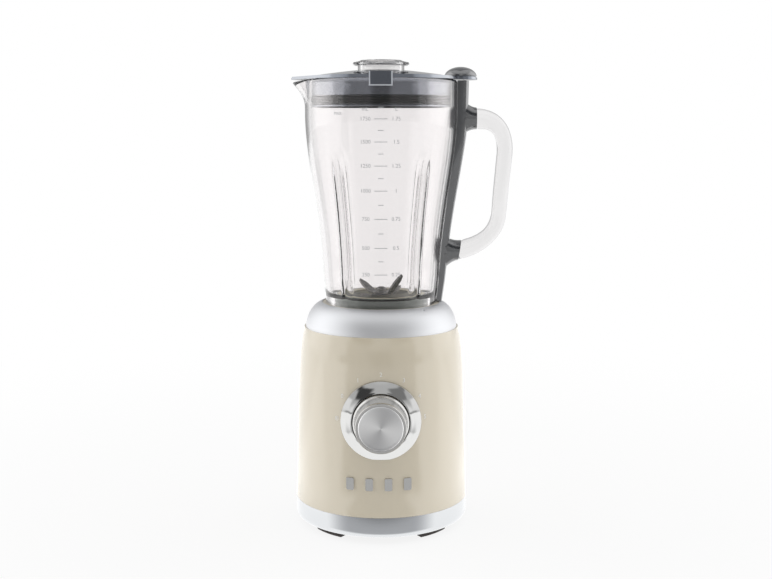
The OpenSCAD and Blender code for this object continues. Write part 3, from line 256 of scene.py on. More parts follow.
def plasticMoulded(dark, light, rough, strength=0.12):
    def build(graph):
        place = graph.objectPlace()
        cloud = graph.noise(place, 40.0, 2.0)
        pores = graph.noise(place, 1500.0, 2.0)
        return {
            "Base Color": graph.mixColours(cloud, shade(*dark), shade(*light)),
            "Roughness": rough + 0.07 * cloud + 0.03 * pores,
            "Normal": graph.bump(pores, strength, 0.00005),
        }
    return build


lidLooks = {
    "frameProud": 0.0004,        # metres that the tabs' raised frames stand out
    "frameHalf": 0.011,          # and half their width
    "gloss": (0.08, 0.40),       # where the clear coat fades in, from square to outline
    "flangeLess": 0.3,           # what the coat loses above the glass
}


def lidGlossy(graph):  # smoky gloss, with the two tabs' raised frames painted pale as a painted highlight
    place = graph.objectPlace()
    x, y, z = graph.parts(place)
    cloud = graph.noise(place, 40.0, 2.0)
    outside = reachOf(x, y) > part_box("lid")[1].y - lidLooks["frameProud"]
    # painted highlight: the tabs' raised frames are pale where their edges would catch the light
    frameHighlight = outside * (abs(x) < lidLooks["frameHalf"])
    smoky = graph.mixColours(cloud, shade(50, 52, 56), shade(58, 60, 64))
    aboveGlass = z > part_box("jug_glass")[1].z
    return {
        "Base Color": graph.mixColours(frameHighlight, smoky, shade(206, 209, 214)),
        "Roughness": 0.05 + 0.03 * cloud,
        "Coat Weight": graph.facing().step(*lidLooks["gloss"]) * (1.0 - lidLooks["flangeLess"] * aboveGlass),
    }


def rubber(dark, light, damp=0.0):  # damp is the share of a clear wet skin towards the outline
    def build(graph):
        place = graph.objectPlace()
        dust = graph.noise(place, 55.0, 4.0, 0.6)
        pores = graph.noise(place, 2200.0, 2.0)
        varied = {
            "Base Color": graph.mixColours((dust - 0.35) * 1.6, shade(*dark), shade(*light)),
            "Roughness": 0.56 + 0.22 * dust,
            "Normal": graph.bump(pores, 0.35, 0.00008),
        }
        if damp:
            varied["Coat Weight"] = damp * graph.facing().step(0.16, 0.52)
        return varied
    return build


def steelTurned(light, rough, rings=4200.0):  # turned or rolled steel, rings round the machine's axis
    def build(graph):
        place = graph.objectPlace()
        x, y, z = graph.parts(place)
        lines = graph.noise(graph.vector(reachOf(x, y) * rings, z * rings, 0.0), 1.0, 1.0)
        haze = graph.noise(place, 120.0, 3.0)
        pale = shade(*light)
        deep = shade(*[value * 0.86 for value in light])
        return {
            "Base Color": graph.mixColours(lines, deep, pale),
            "Roughness": rough + 0.10 * lines + 0.05 * haze,
            "Normal": graph.bump(lines, 0.12, 0.00004),
        }
    return build


def steelPressed(light, rough):  # zinc plated plate with faint spangle
    def build(graph):
        place = graph.objectPlace()
        cells = {"Vector": place, "Scale": 260.0}
        spangle = graph.add("ShaderNodeTexVoronoi", {}, cells, output="Color")
        haze = graph.noise(place, 70.0, 3.0)
        grey = graph.add("ShaderNodeRGBToBW", {}, {0: spangle})
        pale = shade(*light)
        deep = shade(*[value * 0.88 for value in light])
        return {
            "Base Color": graph.mixColours(grey, deep, pale),
            "Roughness": rough + 0.12 * grey + 0.06 * haze,
        }
    return build


def sheetStack(graph):  # stamped sheets stacked upwards
    place = graph.objectPlace()
    _, _, z = graph.parts(place)
    sheet = 0.5 + 0.5 * (z * 6283.0).sin()
    blue = graph.noise(place, 45.0, 3.0)
    return {
        "Base Color": graph.mixColours(blue, shade(92, 94, 100), shade(122, 121, 122)),
        "Roughness": 0.42 + 0.12 * blue,
        "Normal": graph.bump(sheet, 0.5, 0.00012),
    }


def copperWound(graph):  # enamelled wire, strand beside strand
    place = graph.objectPlace()
    x, y, z = graph.parts(place)
    strands = 0.5 + 0.5 * ((x + y * 0.35 + z * 0.2) * 7400.0).sin()
    tint = graph.noise(place, 80.0, 2.0)
    return {
        "Base Color": graph.mixColours(tint, shade(158, 84, 40), shade(196, 116, 62)),
        "Roughness": 0.26 + 0.12 * tint,
        "Normal": graph.bump(strands, 0.6, 0.00015),
    }


def boardGreen(graph):
    x, _, z = graph.parts(graph.objectPlace())
    lanes = ((x * 620.0).floor() * 0.37).sin() * ((z * 480.0).floor() * 0.61).sin()
    track = lanes > 0.35
    return {
        "Base Color": graph.mixColours(track, shade(26, 82, 52), shade(46, 112, 70)),
        "Roughness": 0.34 + 0.10 * track,
        "Normal": graph.bump(track, 0.4, 0.00004),
    }


def clearWaved(scale, strength, depth, edge, clear, rim):  # clear stuff with shallow waves in its skin, its colour darker towards its outline as painted shade
    def build(graph):
        waves = graph.noise(graph.objectPlace(), scale, 1.0)
        return {
            # painted shade: towards the outline the colour turns to the rim tone, standing in for the dark
            # lines the edges refract
            "Base Color": graph.mixColours(graph.facing().step(*edge), shade(*clear), shade(*rim)),
            "Normal": graph.bump(waves, strength, depth),
        }
    return build


holderLooks = {         # metres
    "rimRadius": 0.0352,         # the pale pressed rim lies outside this
    "rimHeight": 0.2072,         # and above this
    "wallRadius": 0.0402,        # the dull outer wall begins here
}


def holderDished(graph):  # dark brushed dish, pale pressed rim, dull green-grey outer wall
    x, y, z = graph.parts(graph.objectPlace())
    radius = reachOf(x, y)
    lines = graph.noise(graph.vector(radius * 1500.0, z * 1500.0, 0.0), 1.0, 1.0)
    stain = graph.noise(graph.vector(x * 30.0, y * 90.0, z * 60.0), 1.0, 2.0)
    dish = graph.mixColours((2.2 * stain - 0.6).clamp(), shade(58, 55, 42), shade(150, 146, 122))
    rimMask = (radius > holderLooks["rimRadius"]) * (z > holderLooks["rimHeight"])
    inner = graph.mixColours(rimMask, dish, shade(236, 230, 208))
    outer = radius > holderLooks["wallRadius"]
    return {
        "Base Color": graph.mixColours(outer, inner, shade(118, 126, 119)),
        "Metallic": 0.8 - 0.6 * outer,
        "Roughness": 0.34 + 0.10 * lines,
        "Normal": graph.bump(lines, 0.12, 0.00004),
    }


paleBandHeight = 0.0035    # metres of the seat's wall, down from its top, that are pale


def seatTwoTone(graph):  # grey seat, pale cream along the top of its wall, which shows round the jug's foot
    place = graph.objectPlace()
    _, _, z = graph.parts(place)
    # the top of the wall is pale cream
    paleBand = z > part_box("seat_cup")[1].z - paleBandHeight
    pores = graph.noise(place, 1500.0, 2.0)
    return {
        "Base Color": graph.mixColours(paleBand, shade(170, 169, 163), shade(226, 219, 204)),
        "Roughness": 0.40 + 0.08 * pores,
        "Normal": graph.bump(pores, 0.12, 0.00005),
    }


knobHeight = sum(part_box("knob_face")[i].z for i in (0, 1)) / 2  # of the knob's axis, metres

finishes = {
    "cream_paint": newFinish("paintCream", paintCream, **{
        "Coat Weight": 0.9, "Coat Roughness": 0.10, "Coat IOR": 1.95}),
    "satin_metal": newFinish("metalSatin", metalSatin((220, 221, 224), (227, 228, 230), 0.46), Metallic=1.0),
    "bright_chrome": newFinish(
        "chromeBright", mottled(60.0, (198, 198, 197), (204, 204, 203), 0.045, 0.05), Metallic=1.0),
    "knob_metal": newFinish(
        "metalKnob", mottled(90.0, (190, 189, 187), (200, 199, 198), 0.13, 0.08, 2.0), Metallic=1.0),
    "black_plastic": newFinish("plasticBlack", plasticMoulded((27, 27, 29), (38, 38, 40), 0.36)),
    "grey_plastic": newFinish("plasticGrey", plasticMoulded((62, 64, 68), (70, 72, 76), 0.14, 0.03), **{
        "Coat Weight": 1.0, "Coat Roughness": 0.06, "Coat IOR": 2.2}),
    "foot_rubber": newFinish("rubberFoot", rubber((46, 40, 38), (66, 58, 55))),
    "seal_rubber": newFinish("rubberSeal", rubber((9, 10, 13), (15, 16, 20), 1.0), **{
        "Specular IOR Level": 0.12, "Coat Roughness": 0.09, "Coat IOR": 5.5,
        "Coat Tint": shade(255, 246, 236)}),
    "red_seal": newFinish("rubberRed", rubber((150, 52, 42), (178, 74, 60))),
    "zinc_steel": newFinish("steelZinc", steelPressed((196, 198, 201), 0.30), Metallic=1.0),
    "bearing_steel": newFinish("steelBearing", steelTurned((200, 201, 203), 0.16), Metallic=1.0),
    "blade_steel": newFinish("steelBlade", steelTurned((132, 130, 129), 0.18, 1500.0), Metallic=1.0),
    "circuit_board": newFinish("boardGreen", boardGreen),
    "filter_film": newFinish("filmWrap", plasticMoulded((196, 170, 60), (214, 190, 84), 0.22, 0.03)),
    "laminations": newFinish("sheetStack", sheetStack, Metallic=0.85),
    "copper": newFinish("copperWound", copperWound, Metallic=0.9),
    "brush_brass": newFinish("brassPressed", steelPressed((206, 170, 96), 0.26), Metallic=1.0),
    "carbon": newFinish(
        "carbonBlock", mottled(900.0, (38, 38, 40), (66, 66, 68), 0.5, 0.2, 4.0, 0.7, 0.4, 0.0001)),
    "cast_metal": newFinish(
        "castAlloy", mottled(420.0, (150, 151, 153), (178, 179, 181), 0.40, 0.16, 4.0, 0.6, 0.35, 0.0002),
        Metallic=1.0),
    "plunger_nylon": newFinish("nylonWhite", plasticMoulded((222, 220, 212), (234, 232, 225), 0.34)),
    "clear_glass": newFinish(
        "glassPressed", clearWaved(26.0, 0.10, 0.0006, (0.50, 0.85), (247, 245, 245), (222, 222, 223)),
        **{"Transmission Weight": 1.0, "Roughness": 0.0, "IOR": 1.48, "Specular IOR Level": 0.15}),
    "clear_plastic": newFinish(
        "plasticClear", clearWaved(40.0, 0.05, 0.0004, (0.45, 0.88), (236, 235, 235), (176, 174, 176)),
        **{"Transmission Weight": 1.0, "Roughness": 0.0, "IOR": 1.47}),
}
ownFinishes = {         # of nodes that differ from their slot's finish
    "knob_face": newFinish("faceSpun", faceSpun, Metallic=1.0),
    "bottom_skirt": newFinish("metalSkirt", skirtSheenPainted, Metallic=1.0),
    "lid": newFinish("plasticLid", lidGlossy, **{
        "IOR": 3.2, "Specular Tint": shade(232, 240, 255), "Coat Roughness": 0.05, "Coat IOR": 3.0}),
    "blade_holder": newFinish("steelDished", holderDished),
    "seat_cup": newFinish("seatRim", seatTwoTone),
}
paleInk = newFinish("inkPale", mottled(700.0, (176, 179, 181), (196, 198, 199), 0.45, 0.1))
whiteInk = newFinish("inkWhite", mottled(700.0, (240, 239, 235), (250, 249, 246), 0.45, 0.1))

slotOf = {part["node"]: part["material_slot"] for part in frame["record"]["subparts"]}
for name, cad in nodes.items():
    cad.data.materials.clear()
    cad.data.materials.append(ownFinishes.get(name) or finishes[slotOf[name]])
print("finishes ready,", len(finishes) + len(ownFinishes), "and two inks")


def roundOff(name, degrees=32):  # evens the shading of a node's facets and keeps its real corners
    cad = nodes[name]
    weld = cad.modifiers.new("weld", "WELD")
    weld.merge_threshold = 0.000002
    split = cad.modifiers.new("corners", "EDGE_SPLIT")
    split.split_angle = math.radians(degrees)
    split.use_edge_sharp = False
    even = cad.modifiers.new("even", "WEIGHTED_NORMAL")
    even.mode = "FACE_AREA_WITH_ANGLE"
    even.keep_sharp = False


for name in nodes:
    roundOff(name)


def newPiece(name, mesh, body, slot, material, *replaced):  # replaced are the nodes it stands in for
    piece = bpy.data.objects.new(name, mesh)
    bpy.context.scene.collection.objects.link(piece)
    mesh.materials.clear()
    mesh.materials.append(material)
    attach(piece, body)
    if replaced:
        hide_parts(*replaced)


def meshFrom(name, points, faces):
    mesh = bpy.data.meshes.new(name)
    mesh.from_pydata(points, [], faces)
    mesh.validate()
    return mesh


def outwards(mesh):  # turns a closed mesh right side out
    shape = bmesh.new()
    shape.from_mesh(mesh)
    bmesh.ops.remove_doubles(shape, verts=shape.verts, dist=1e-7)
    if shape.calc_volume(signed=True) < 0:
        bmesh.ops.reverse_faces(shape, faces=shape.faces)
    shape.to_mesh(mesh)
    shape.free()
    return mesh


def smoothShade(mesh, degrees=50):
    mesh.polygons.foreach_set("use_smooth", [True] * len(mesh.polygons))
    mesh.set_sharp_from_angle(angle=math.radians(degrees))
    return mesh


def newTree(name, inputs):  # a geometry tree with its named inputs
    tree = bpy.data.node_groups.new(name, "GeometryNodeTree")
    tree.interface.new_socket("Geometry", in_out="INPUT", socket_type="NodeSocketGeometry")
    for socket, kind in inputs.items():
        tree.interface.new_socket(socket, in_out="INPUT", socket_type="NodeSocket" + kind)
    tree.interface.new_socket("Geometry", in_out="OUTPUT", socket_type="NodeSocketGeometry")
    graph = Graph(tree)
    return graph, graph.add("NodeGroupInput")


def endTree(graph, geometry, start):
    real = graph.add("GeometryNodeRealizeInstances", {}, {"Geometry": geometry})
    dressed = graph.add("GeometryNodeSetMaterial", {}, {
        "Geometry": real, "Material": start.out("material")})
    graph.add("NodeGroupOutput", {}, {0: dressed})
    return graph.tree


def grow(name, seedMesh, tree, values):  # runs a tree on a mesh and hands back the plain result
    holder = bpy.data.objects.new(name + "Seed", seedMesh)
    bpy.context.scene.collection.objects.link(holder)
    modifier = holder.modifiers.new(name, "NODES")
    modifier.node_group = tree
    for item in tree.interface.items_tree:
        if item.item_type == "SOCKET" and item.in_out == "INPUT" and item.name in values:
            modifier[item.identifier] = values[item.name]
    ready = holder.evaluated_get(bpy.context.evaluated_depsgraph_get())
    mesh = bpy.data.meshes.new_from_object(ready)
    mesh.name = name
    bpy.data.objects.remove(holder)
    return mesh


def between(low, high, x):  # smooth step
    t = min(max((x - low) / (high - low), 0.0), 1.0)
    return t * t * (3 - 2 * t)


def onCurve(points, t):  # cubic curve through four flat points
    weights = ((1 - t) ** 3, 3 * t * (1 - t) ** 2, 3 * t * t * (1 - t), t ** 3)
    return tuple(sum(w * p[i] for w, p in zip(weights, points)) for i in (0, 1))


jugValues = {           # millimetres
    "rimRadius": 67.0,
    "waistRadius": 52.1,
    "waistUp": 25.0,
    "footRadius": 49.2,
    "footDown": 1.0,             # the foot stands this far inside the collar
    "footBevel": 1.6,
    "neckShort": 1.0,            # and the neck's straight part ends this far under the foot
    "heel": 5.0,                 # height of the rounding above the foot
    "heelStep": 0.6,
    "shoulderDown": 30.0,        # the straight part under the rim
    "shoulderEase": 37.0,        # then how slowly the side turns in
    "waistEase": 60.0,
    "waistFlare": 2.4,
    "wall": 4.5,
    "neckRadius": 46.0,
    "boreRadius": 42.0,
    "boreTop": 7.0,
    "boreRound": 8.0,
    "fluteDepth": 2.7,
    "fluteLow": (6.0, 16.0),     # where a flute begins and is whole
    "fluteTop": 140.0,
    "fluteFade": 28.0,
    "fluteSteepSide": 3.6,
    "fluteGentleSide": 9.0,
    "fluteTurn": 38.5,
    "fluteEase": 2.0,
    "spoutReach": 13.2,
    "spoutHalfWidth": 22.0,
    "spoutLow": 26.0,            # it grows from here to a little above the rim
    "spoutOver": 6.0,
    "spoutRise": 1.6,
    "spoutEase": 1.5,
    "spoutDip": 0.16,
    "around": 400,
    "sideRows": 84,
}
glassLow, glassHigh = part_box("jug_glass")
rimZ = glassHigh.z / mm
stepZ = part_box("top_collar")[1].z / mm - jugValues["footDown"]


def glassRadius(z):  # outer radius of the plain glass
    j = jugValues
    shoulder = rimZ - j["shoulderDown"]
    waist = stepZ + j["waistUp"]
    if z >= shoulder:
        return j["rimRadius"]
    if z >= waist:
        side = ((j["rimRadius"], shoulder), (j["rimRadius"], shoulder - j["shoulderEase"]),
                (j["waistRadius"] + j["waistFlare"], waist + j["waistEase"]), (j["waistRadius"], waist))
        low, high = 0.0, 1.0
        for _ in range(24):
            half = (low + high) / 2
            low, high = (half, high) if onCurve(side, half)[1] > z else (low, half)
        return onCurve(side, low)[0]
    foot, heel, step = j["footRadius"], j["heel"], j["heelStep"]
    if z >= stepZ + heel:
        up = (z - stepZ - heel) / (waist - stepZ - heel)
        return foot + step + (j["waistRadius"] - foot - step) * up
    down = 1 - max(z - stepZ, 0) / heel
    return foot - step + 2 * step * math.sqrt(max(0.0, 1 - down ** 2))


def fluteAt(z):
    j = jugValues
    low, full = j["fluteLow"]
    top = stepZ + j["fluteTop"]
    return j["fluteDepth"] * between(stepZ + low, stepZ + full, z) * (1 - between(top - j["fluteFade"], top, z))


def spoutAt(z):
    j = jugValues
    return j["spoutReach"] * between(rimZ - j["spoutLow"], rimZ + j["spoutOver"], z) ** j["spoutRise"]


def glassProfile():  # closed outline of the wall: up the outside, over the lip, down the inside
    j = jugValues
    neckZ = glassLow.z / mm
    lip, heel, curl = j["wall"] / 2, j["heel"], j["boreRound"]
    rise = [stepZ + heel * (1 - math.cos(i * math.pi / 12)) for i in range(1, 7)]
    top = rimZ - lip - stepZ - heel
    climb = [stepZ + heel + top * i / j["sideRows"] for i in range(1, j["sideRows"] + 1)]
    outline = [(j["neckRadius"], neckZ), (j["neckRadius"], stepZ - j["neckShort"]),
               (j["footRadius"] - j["footBevel"], stepZ)]
    outline += [(glassRadius(z), z) for z in rise + climb]
    outline += [(j["rimRadius"] - lip + lip * math.cos(a), rimZ - lip + lip * math.sin(a))
                for a in (math.pi * i / 12 for i in range(1, 12))]
    floorZ = stepZ + j["boreTop"]
    outline += [(glassRadius(z) - j["wall"], z) for z in reversed(climb) if z > floorZ + curl]
    inner = glassRadius(floorZ + curl) - j["wall"]
    outline += [(inner - (inner - j["boreRadius"]) * (1 - math.cos(a)), floorZ + curl * (1 - math.sin(a)))
                for a in (math.pi / 2 * i / 8 for i in range(1, 8))]
    outline += [(j["boreRadius"], floorZ), (j["boreRadius"], neckZ)]
    return outline


def glassTree():  # bends a grid round the machine, one row of it for each point of the outline
    graph, start = newTree("jugGlass", {
        "around": "Int", "fluteTurn": "Float", "fluteSteepSide": "Float", "fluteGentleSide": "Float",
        "spoutHalfWidth": "Float", "spoutDip": "Float", "material": "Material"})
    outline = start.out("Geometry")
    size = graph.add("GeometryNodeAttributeDomainSize", {"component": "MESH"}, {"Geometry": outline})
    rows = size.out("Point Count")
    around = start.out("around")
    grid = graph.add("GeometryNodeMeshGrid", {}, {
        "Size X": 1.0, "Size Y": 1.0, "Vertices X": rows + 1.0, "Vertices Y": around + 1.0})
    across, along, _ = graph.parts(graph.add("GeometryNodeInputPosition"))
    row = ((across + 0.5) * rows + 0.5).floor() % rows
    turn = (along + 0.5) * (2 * math.pi)

    def sampled(value, kind):
        return graph.add("GeometryNodeSampleIndex", {"data_type": kind, "domain": "POINT"}, {
            "Geometry": outline, "Value": value, "Index": row})

    def named(name):
        return graph.add("GeometryNodeInputNamedAttribute", {"data_type": "FLOAT"}, {"Name": name})

    radius, _, height = graph.parts(sampled(graph.add("GeometryNodeInputPosition"), "FLOAT_VECTOR"))
    flute = sampled(named("fluteDepth"), "FLOAT")
    spout = sampled(named("spoutReach"), "FLOAT")
    fromFront = abs(turn % math.pi - math.pi / 2)
    apart = fromFront - start.out("fluteTurn")
    off = apart.clamp() / start.out("fluteSteepSide") + (-apart).clamp() / start.out("fluteGentleSide")
    tip = abs(turn - math.pi) * radius / start.out("spoutHalfWidth")
    press = ((off * radius).clamp() * (math.pi / 2)).cos() ** jugValues["fluteEase"] * flute
    pour = (tip.clamp() * (math.pi / 2)).cos().clamp() ** jugValues["spoutEase"] * spout
    reach = radius - press + pour
    low = height - pour * start.out("spoutDip")
    place = graph.vector(reach * turn.cos(), reach * turn.sin(), low)
    shaped = graph.add("GeometryNodeSetPosition", {}, {"Geometry": grid, "Position": place})
    sewn = graph.add("GeometryNodeMergeByDistance", {}, {"Geometry": shaped, "Distance": 1e-6})
    return endTree(graph, sewn, start)


def makeGlass():
    j = jugValues
    outline = glassProfile()
    count = len(outline)
    seed = bpy.data.meshes.new("glassOutline")
    ring = [(i, (i + 1) % count) for i in range(count)]
    seed.from_pydata([(r * mm, 0, z * mm) for r, z in outline], ring, [])
    floorZ = stepZ + j["boreTop"] + 1  # the inside stays plain below this
    for name, rule in (("fluteDepth", fluteAt), ("spoutReach", spoutAt)):
        layer = seed.attributes.new(name, "FLOAT", "POINT")
        amounts = []
        for i, (_, z) in enumerate(outline):
            inside = i > count / 2
            amounts.append(0.0 if inside and z < floorZ else rule(min(z, rimZ)) * mm)
        layer.data.foreach_set("value", amounts)
    values = {name: j[name] * mm for name in ("fluteSteepSide", "fluteGentleSide", "spoutHalfWidth")}
    values |= {"around": j["around"], "fluteTurn": math.radians(j["fluteTurn"]),
               "spoutDip": j["spoutDip"], "material": finishes["clear_glass"]}
    return smoothShade(outwards(grow("jugGlass", seed, glassTree(), values)))


newPiece("jugGlass", makeGlass(), "jug", "clear_glass", finishes["clear_glass"], "jug_glass")
print("glass grown")

gripValues = {          # millimetres
    "out": 109.4,
    "lean": 4.6,
    "drop": 33.5,
    "rise": 47.0,
    "topReach": 17.0,
    "lowReach": 16.4,
    "bends": (30.0, 32.0),       # height of the upper and the lower bend
    "topHandles": ((15.0, 0.0), (1.0, -8.0)),      # of the curves, from socket and from bend
    "lowHandles": ((16.0, 3.5), (-1.6, 13.0)),
    "thick": 13.7,
    "wide": 20.0,
    "roundness": 0.82,
    "topSwell": (0.3, 0.34),     # share of thickness added at the end, and how far along it lasts
    "lowSwell": (0.22, 0.28),
    "startTurn": 0.05,           # share of the length that runs in line with the upper socket
    "endTurn": 0.07,             # and with the lower one
    "endTilt": -9.0,
    "spigot": 5.0,
    "spigotRound": 0.4,
    "bendSteps": 9,
    "straightSteps": 3,
    "reach": 0.4,                # steps to both sides that a row takes its direction from
    "rows": 110,
    "around": 48,
}


def gripLine(i):  # middle line of the grip, i from 0 at the upper socket to the last step at the lower one
    g = gripValues
    bend, straight = g["bendSteps"], g["straightSteps"]
    top = (jugValues["rimRadius"] + g["topReach"], rimZ - g["drop"])
    lowZ = stepZ + g["rise"]
    low = (glassRadius(lowZ) + g["lowReach"], lowZ)
    high, deep = (g["out"], top[1] - g["bends"][0]), (g["out"] - g["lean"], lowZ + g["bends"][1])

    def moved(point, by):
        return (point[0] + by[0], point[1] + by[1])

    if i <= bend:
        first, second = g["topHandles"]
        return onCurve((top, moved(top, first), moved((g["out"], top[1]), second), high), i / bend)
    if i < bend + straight:
        return tuple(h + (d - h) * (i - bend) / straight for h, d in zip(high, deep))
    first, second = g["lowHandles"]
    return onCurve((deep, moved((deep[0], lowZ), second), moved(low, first), low), (i - bend - straight) / bend)


def gripSections():  # centre, direction, half thickness, half width and roundness of each row
    g = gripValues
    steps = 2 * g["bendSteps"] + g["straightSteps"]
    tilt = math.radians(g["endTilt"])
    startWay, endWay = Vector((1, 0)), Vector((-math.cos(tilt), -math.sin(tilt)))
    (topMore, topFar), (lowMore, lowFar) = g["topSwell"], g["lowSwell"]
    sections = []
    for k in range(g["rows"] + 1):
        s = k / g["rows"]
        i = s * steps
        a, b = gripLine(max(i - g["reach"], 0)), gripLine(min(i + g["reach"], steps))
        way = Vector((b[0] - a[0], b[1] - a[1])).normalized()
        end = between(1 - g["endTurn"], 1, s)
        way = (way * (1 - end) + endWay * end).normalized()
        start = 1 - between(0, g["startTurn"], s)
        way = (way * (1 - start) + startWay * start).normalized()
        swell = 1 + topMore * (1 - between(0, topFar, s)) + lowMore * between(1 - lowFar, 1, s)
        sections.append((gripLine(i), way, g["thick"] / 2 * swell, g["wide"] / 2, g["roundness"]))
    return sections


def spigotSections(centre, way, side):  # round stub in a socket, side is -1 before the grip and 1 after it
    full, worn = gripValues["spigot"], gripValues["spigot"] - gripValues["spigotRound"]
    rows = [((centre[0] + side * way[0] * d, centre[1] + side * way[1] * d), way, r, r, 1.0)
            for d, r in ((0, full), (worn, full), (full, worn))]
    return rows[::side]


def makeGrip():
    around = gripValues["around"]
    sections = gripSections()
    everything = spigotSections(*sections[0][:2], -1) + sections + spigotSections(*sections[-1][:2], 1)
    points, faces = [], []
    for (x, z), way, half, wide, power in everything:
        for k in range(around):
            a = 2 * math.pi * k / around
            u = half * math.copysign(abs(math.cos(a)) ** power, math.cos(a))
            v = -wide * math.copysign(abs(math.sin(a)) ** power, math.sin(a))
            points.append(((x - way[1] * u) * mm, v * mm, (z + way[0] * u) * mm))
    for row in range(len(everything) - 1):
        for k in range(around):
            a, b = row * around + k, row * around + (k + 1) % around
            faces.append((a, b, b + around, a + around))
    faces.append(tuple(range(around))[::-1])
    faces.append(tuple(range((len(everything) - 1) * around, len(everything) * around)))
    return smoothShade(outwards(meshFrom("handleGrip", points, faces)))


newPiece("handleGrip", makeGrip(), "jug", "clear_plastic", finishes["clear_plastic"], "handle_grip")
print("grip lofted")


def wrapOn(mesh, radiusAt):  # bends flat work, x across, z up and y as its depth, round the machine
    for vertex in mesh.vertices:
        x, y, z = vertex.co
        radius = radiusAt(z / mm) * mm
        turn = x / radius
        reach = radius - y
        vertex.co = (reach * math.sin(turn), -reach * math.cos(turn), z)
    mesh.update()
    return mesh


def letters(text, size, x, z, depth):  # a word as flat work, standing up, its middle at x, z, in millimetres
    curve = bpy.data.curves.new(text, "FONT")
    curve.body = text
    curve.size = size * mm
    curve.align_x = "CENTER"
    curve.align_y = "CENTER"
    curve.extrude = depth / 2 * mm
    curve.resolution_u = 3
    holder = bpy.data.objects.new(text, curve)
    bpy.context.scene.collection.objects.link(holder)
    bpy.context.view_layer.update()
    mesh = bpy.data.meshes.new_from_object(holder.evaluated_get(bpy.context.evaluated_depsgraph_get()))
    bpy.data.objects.remove(holder)
    mesh.transform(Matrix.Translation((x * mm, 0, z * mm)) @ Matrix.Rotation(math.pi / 2, 4, "X"))
    return mesh


def printed(name, meshes, depth, radiusAt):  # flat work in one mesh, laid round the machine's skin
    shape = bmesh.new()
    for mesh in meshes:
        shape.from_mesh(mesh)
    for face in shape.faces:
        face.material_index = 0
    whole = bpy.data.meshes.new(name)
    shape.to_mesh(whole)
    shape.free()
    whole.transform(Matrix.Translation((0, -depth / 2 * mm, 0)))
    return wrapOn(whole, radiusAt)


scaleValues = {         # millimetres above the table, for every quarter litre from the top down
    "numbered": ((1.75, 363.7), (1.5, 344.7), (1.25, 324.7), (1.0, 303.7),
                 (0.75, 279.7), (0.5, 254.7), (0.25, 231.7)),
    "longTick": 11.0,
    "shortTick": 4.6,
    "topTickUp": 9.5,            # of the tick above the highest number
    "tickHeight": 0.55,
    "digitSize": 4.6,
    "column": 13.0,
    "unitsUp": 8.0,
    "maxPlace": (-38.0, 4.5),    # across and above the highest number
    "maxSize": 3.6,
    "depth": 0.12,
}


def tickTree():
    graph, start = newTree("jugTicks", {"tickHeight": "Float", "depth": "Float", "material": "Material"})
    size = graph.vector(1.0, start.out("depth"), start.out("tickHeight"))
    bar = graph.add("GeometryNodeMeshCube", {}, {
        "Size": size, "Vertices X": 9, "Vertices Y": 2, "Vertices Z": 2})
    length = graph.add("GeometryNodeInputNamedAttribute", {"data_type": "FLOAT"}, {"Name": "tickLength"})
    ticks = graph.add("GeometryNodeInstanceOnPoints", {}, {
        "Points": start, "Instance": bar, "Scale": graph.vector(length, 1.0, 1.0)})
    return endTree(graph, ticks, start)


def makeTicks():
    s = scaleValues
    heights = [z for _, z in s["numbered"]]
    halves = [(a + b) / 2 for a, b in zip(heights, heights[1:])]
    marks = [(z, s["longTick"]) for z in heights] + [(z, s["shortTick"]) for z in halves]
    marks += [(heights[0] + s["topTickUp"], s["shortTick"])]
    seed = bpy.data.meshes.new("tickPlaces")
    seed.from_pydata([(0, 0, z * mm) for z, _ in marks], [], [])
    layer = seed.attributes.new("tickLength", "FLOAT", "POINT")
    layer.data.foreach_set("value", [length * mm for _, length in marks])
    mesh = grow("jugTicks", seed, tickTree(), {
        "tickHeight": s["tickHeight"] * mm, "depth": s["depth"] * mm, "material": paleInk})
    mesh.transform(Matrix.Translation((0, -s["depth"] / 2 * mm, 0)))
    return wrapOn(mesh, glassRadius)


def makeNumbers():
    s = scaleValues
    highest = s["numbered"][0][1]
    rows = [(f"{litres * 1000:.0f}", f"{litres:g}", z) for litres, z in s["numbered"]]
    rows.append(("mL", "L", highest + s["unitsUp"]))
    words = []
    for left, right, z in rows:
        words.append(letters(left, s["digitSize"], -s["column"], z, s["depth"]))
        words.append(letters(right, s["digitSize"], s["column"], z, s["depth"]))
    across, up = s["maxPlace"]
    words.append(letters("MAX", s["maxSize"], across, highest + up, s["depth"]))
    return printed("jugNumbers", words, s["depth"], glassRadius)


newPiece("jugTicks", makeTicks(), "jug", None, paleInk)
newPiece("jugNumbers", makeNumbers(), "jug", None, paleInk)
print("jug scale printed")

dialValues = {          # millimetres and degrees round the knob, from the handle's side
    "marks": ((150, "0"), (120, "1"), (90, "2"), (60, "3"), (30, "4"), (2, "5")),
    "radius": 39.6,
    "digitSize": 5.2,
    "pulseAngle": 180,
    "pulseRing": (1.9, 0.45),    # radius and width
    "pulseDot": (0.75, 0.74),
    "depth": 0.12,
}
shellLow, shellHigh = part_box("housing_shell")
shellLean = {"side": 4.4, "shoulder": 4.3, "power": 10}  # how the shell narrows upwards, millimetres


def shellRadius(z):  # the painted housing at a height, as it is built
    t = (z * mm - shellLow.z) / (shellHigh.z - shellLow.z)
    return shellHigh.x / mm - shellLean["side"] * t - shellLean["shoulder"] * max(t, 0) ** shellLean["power"]


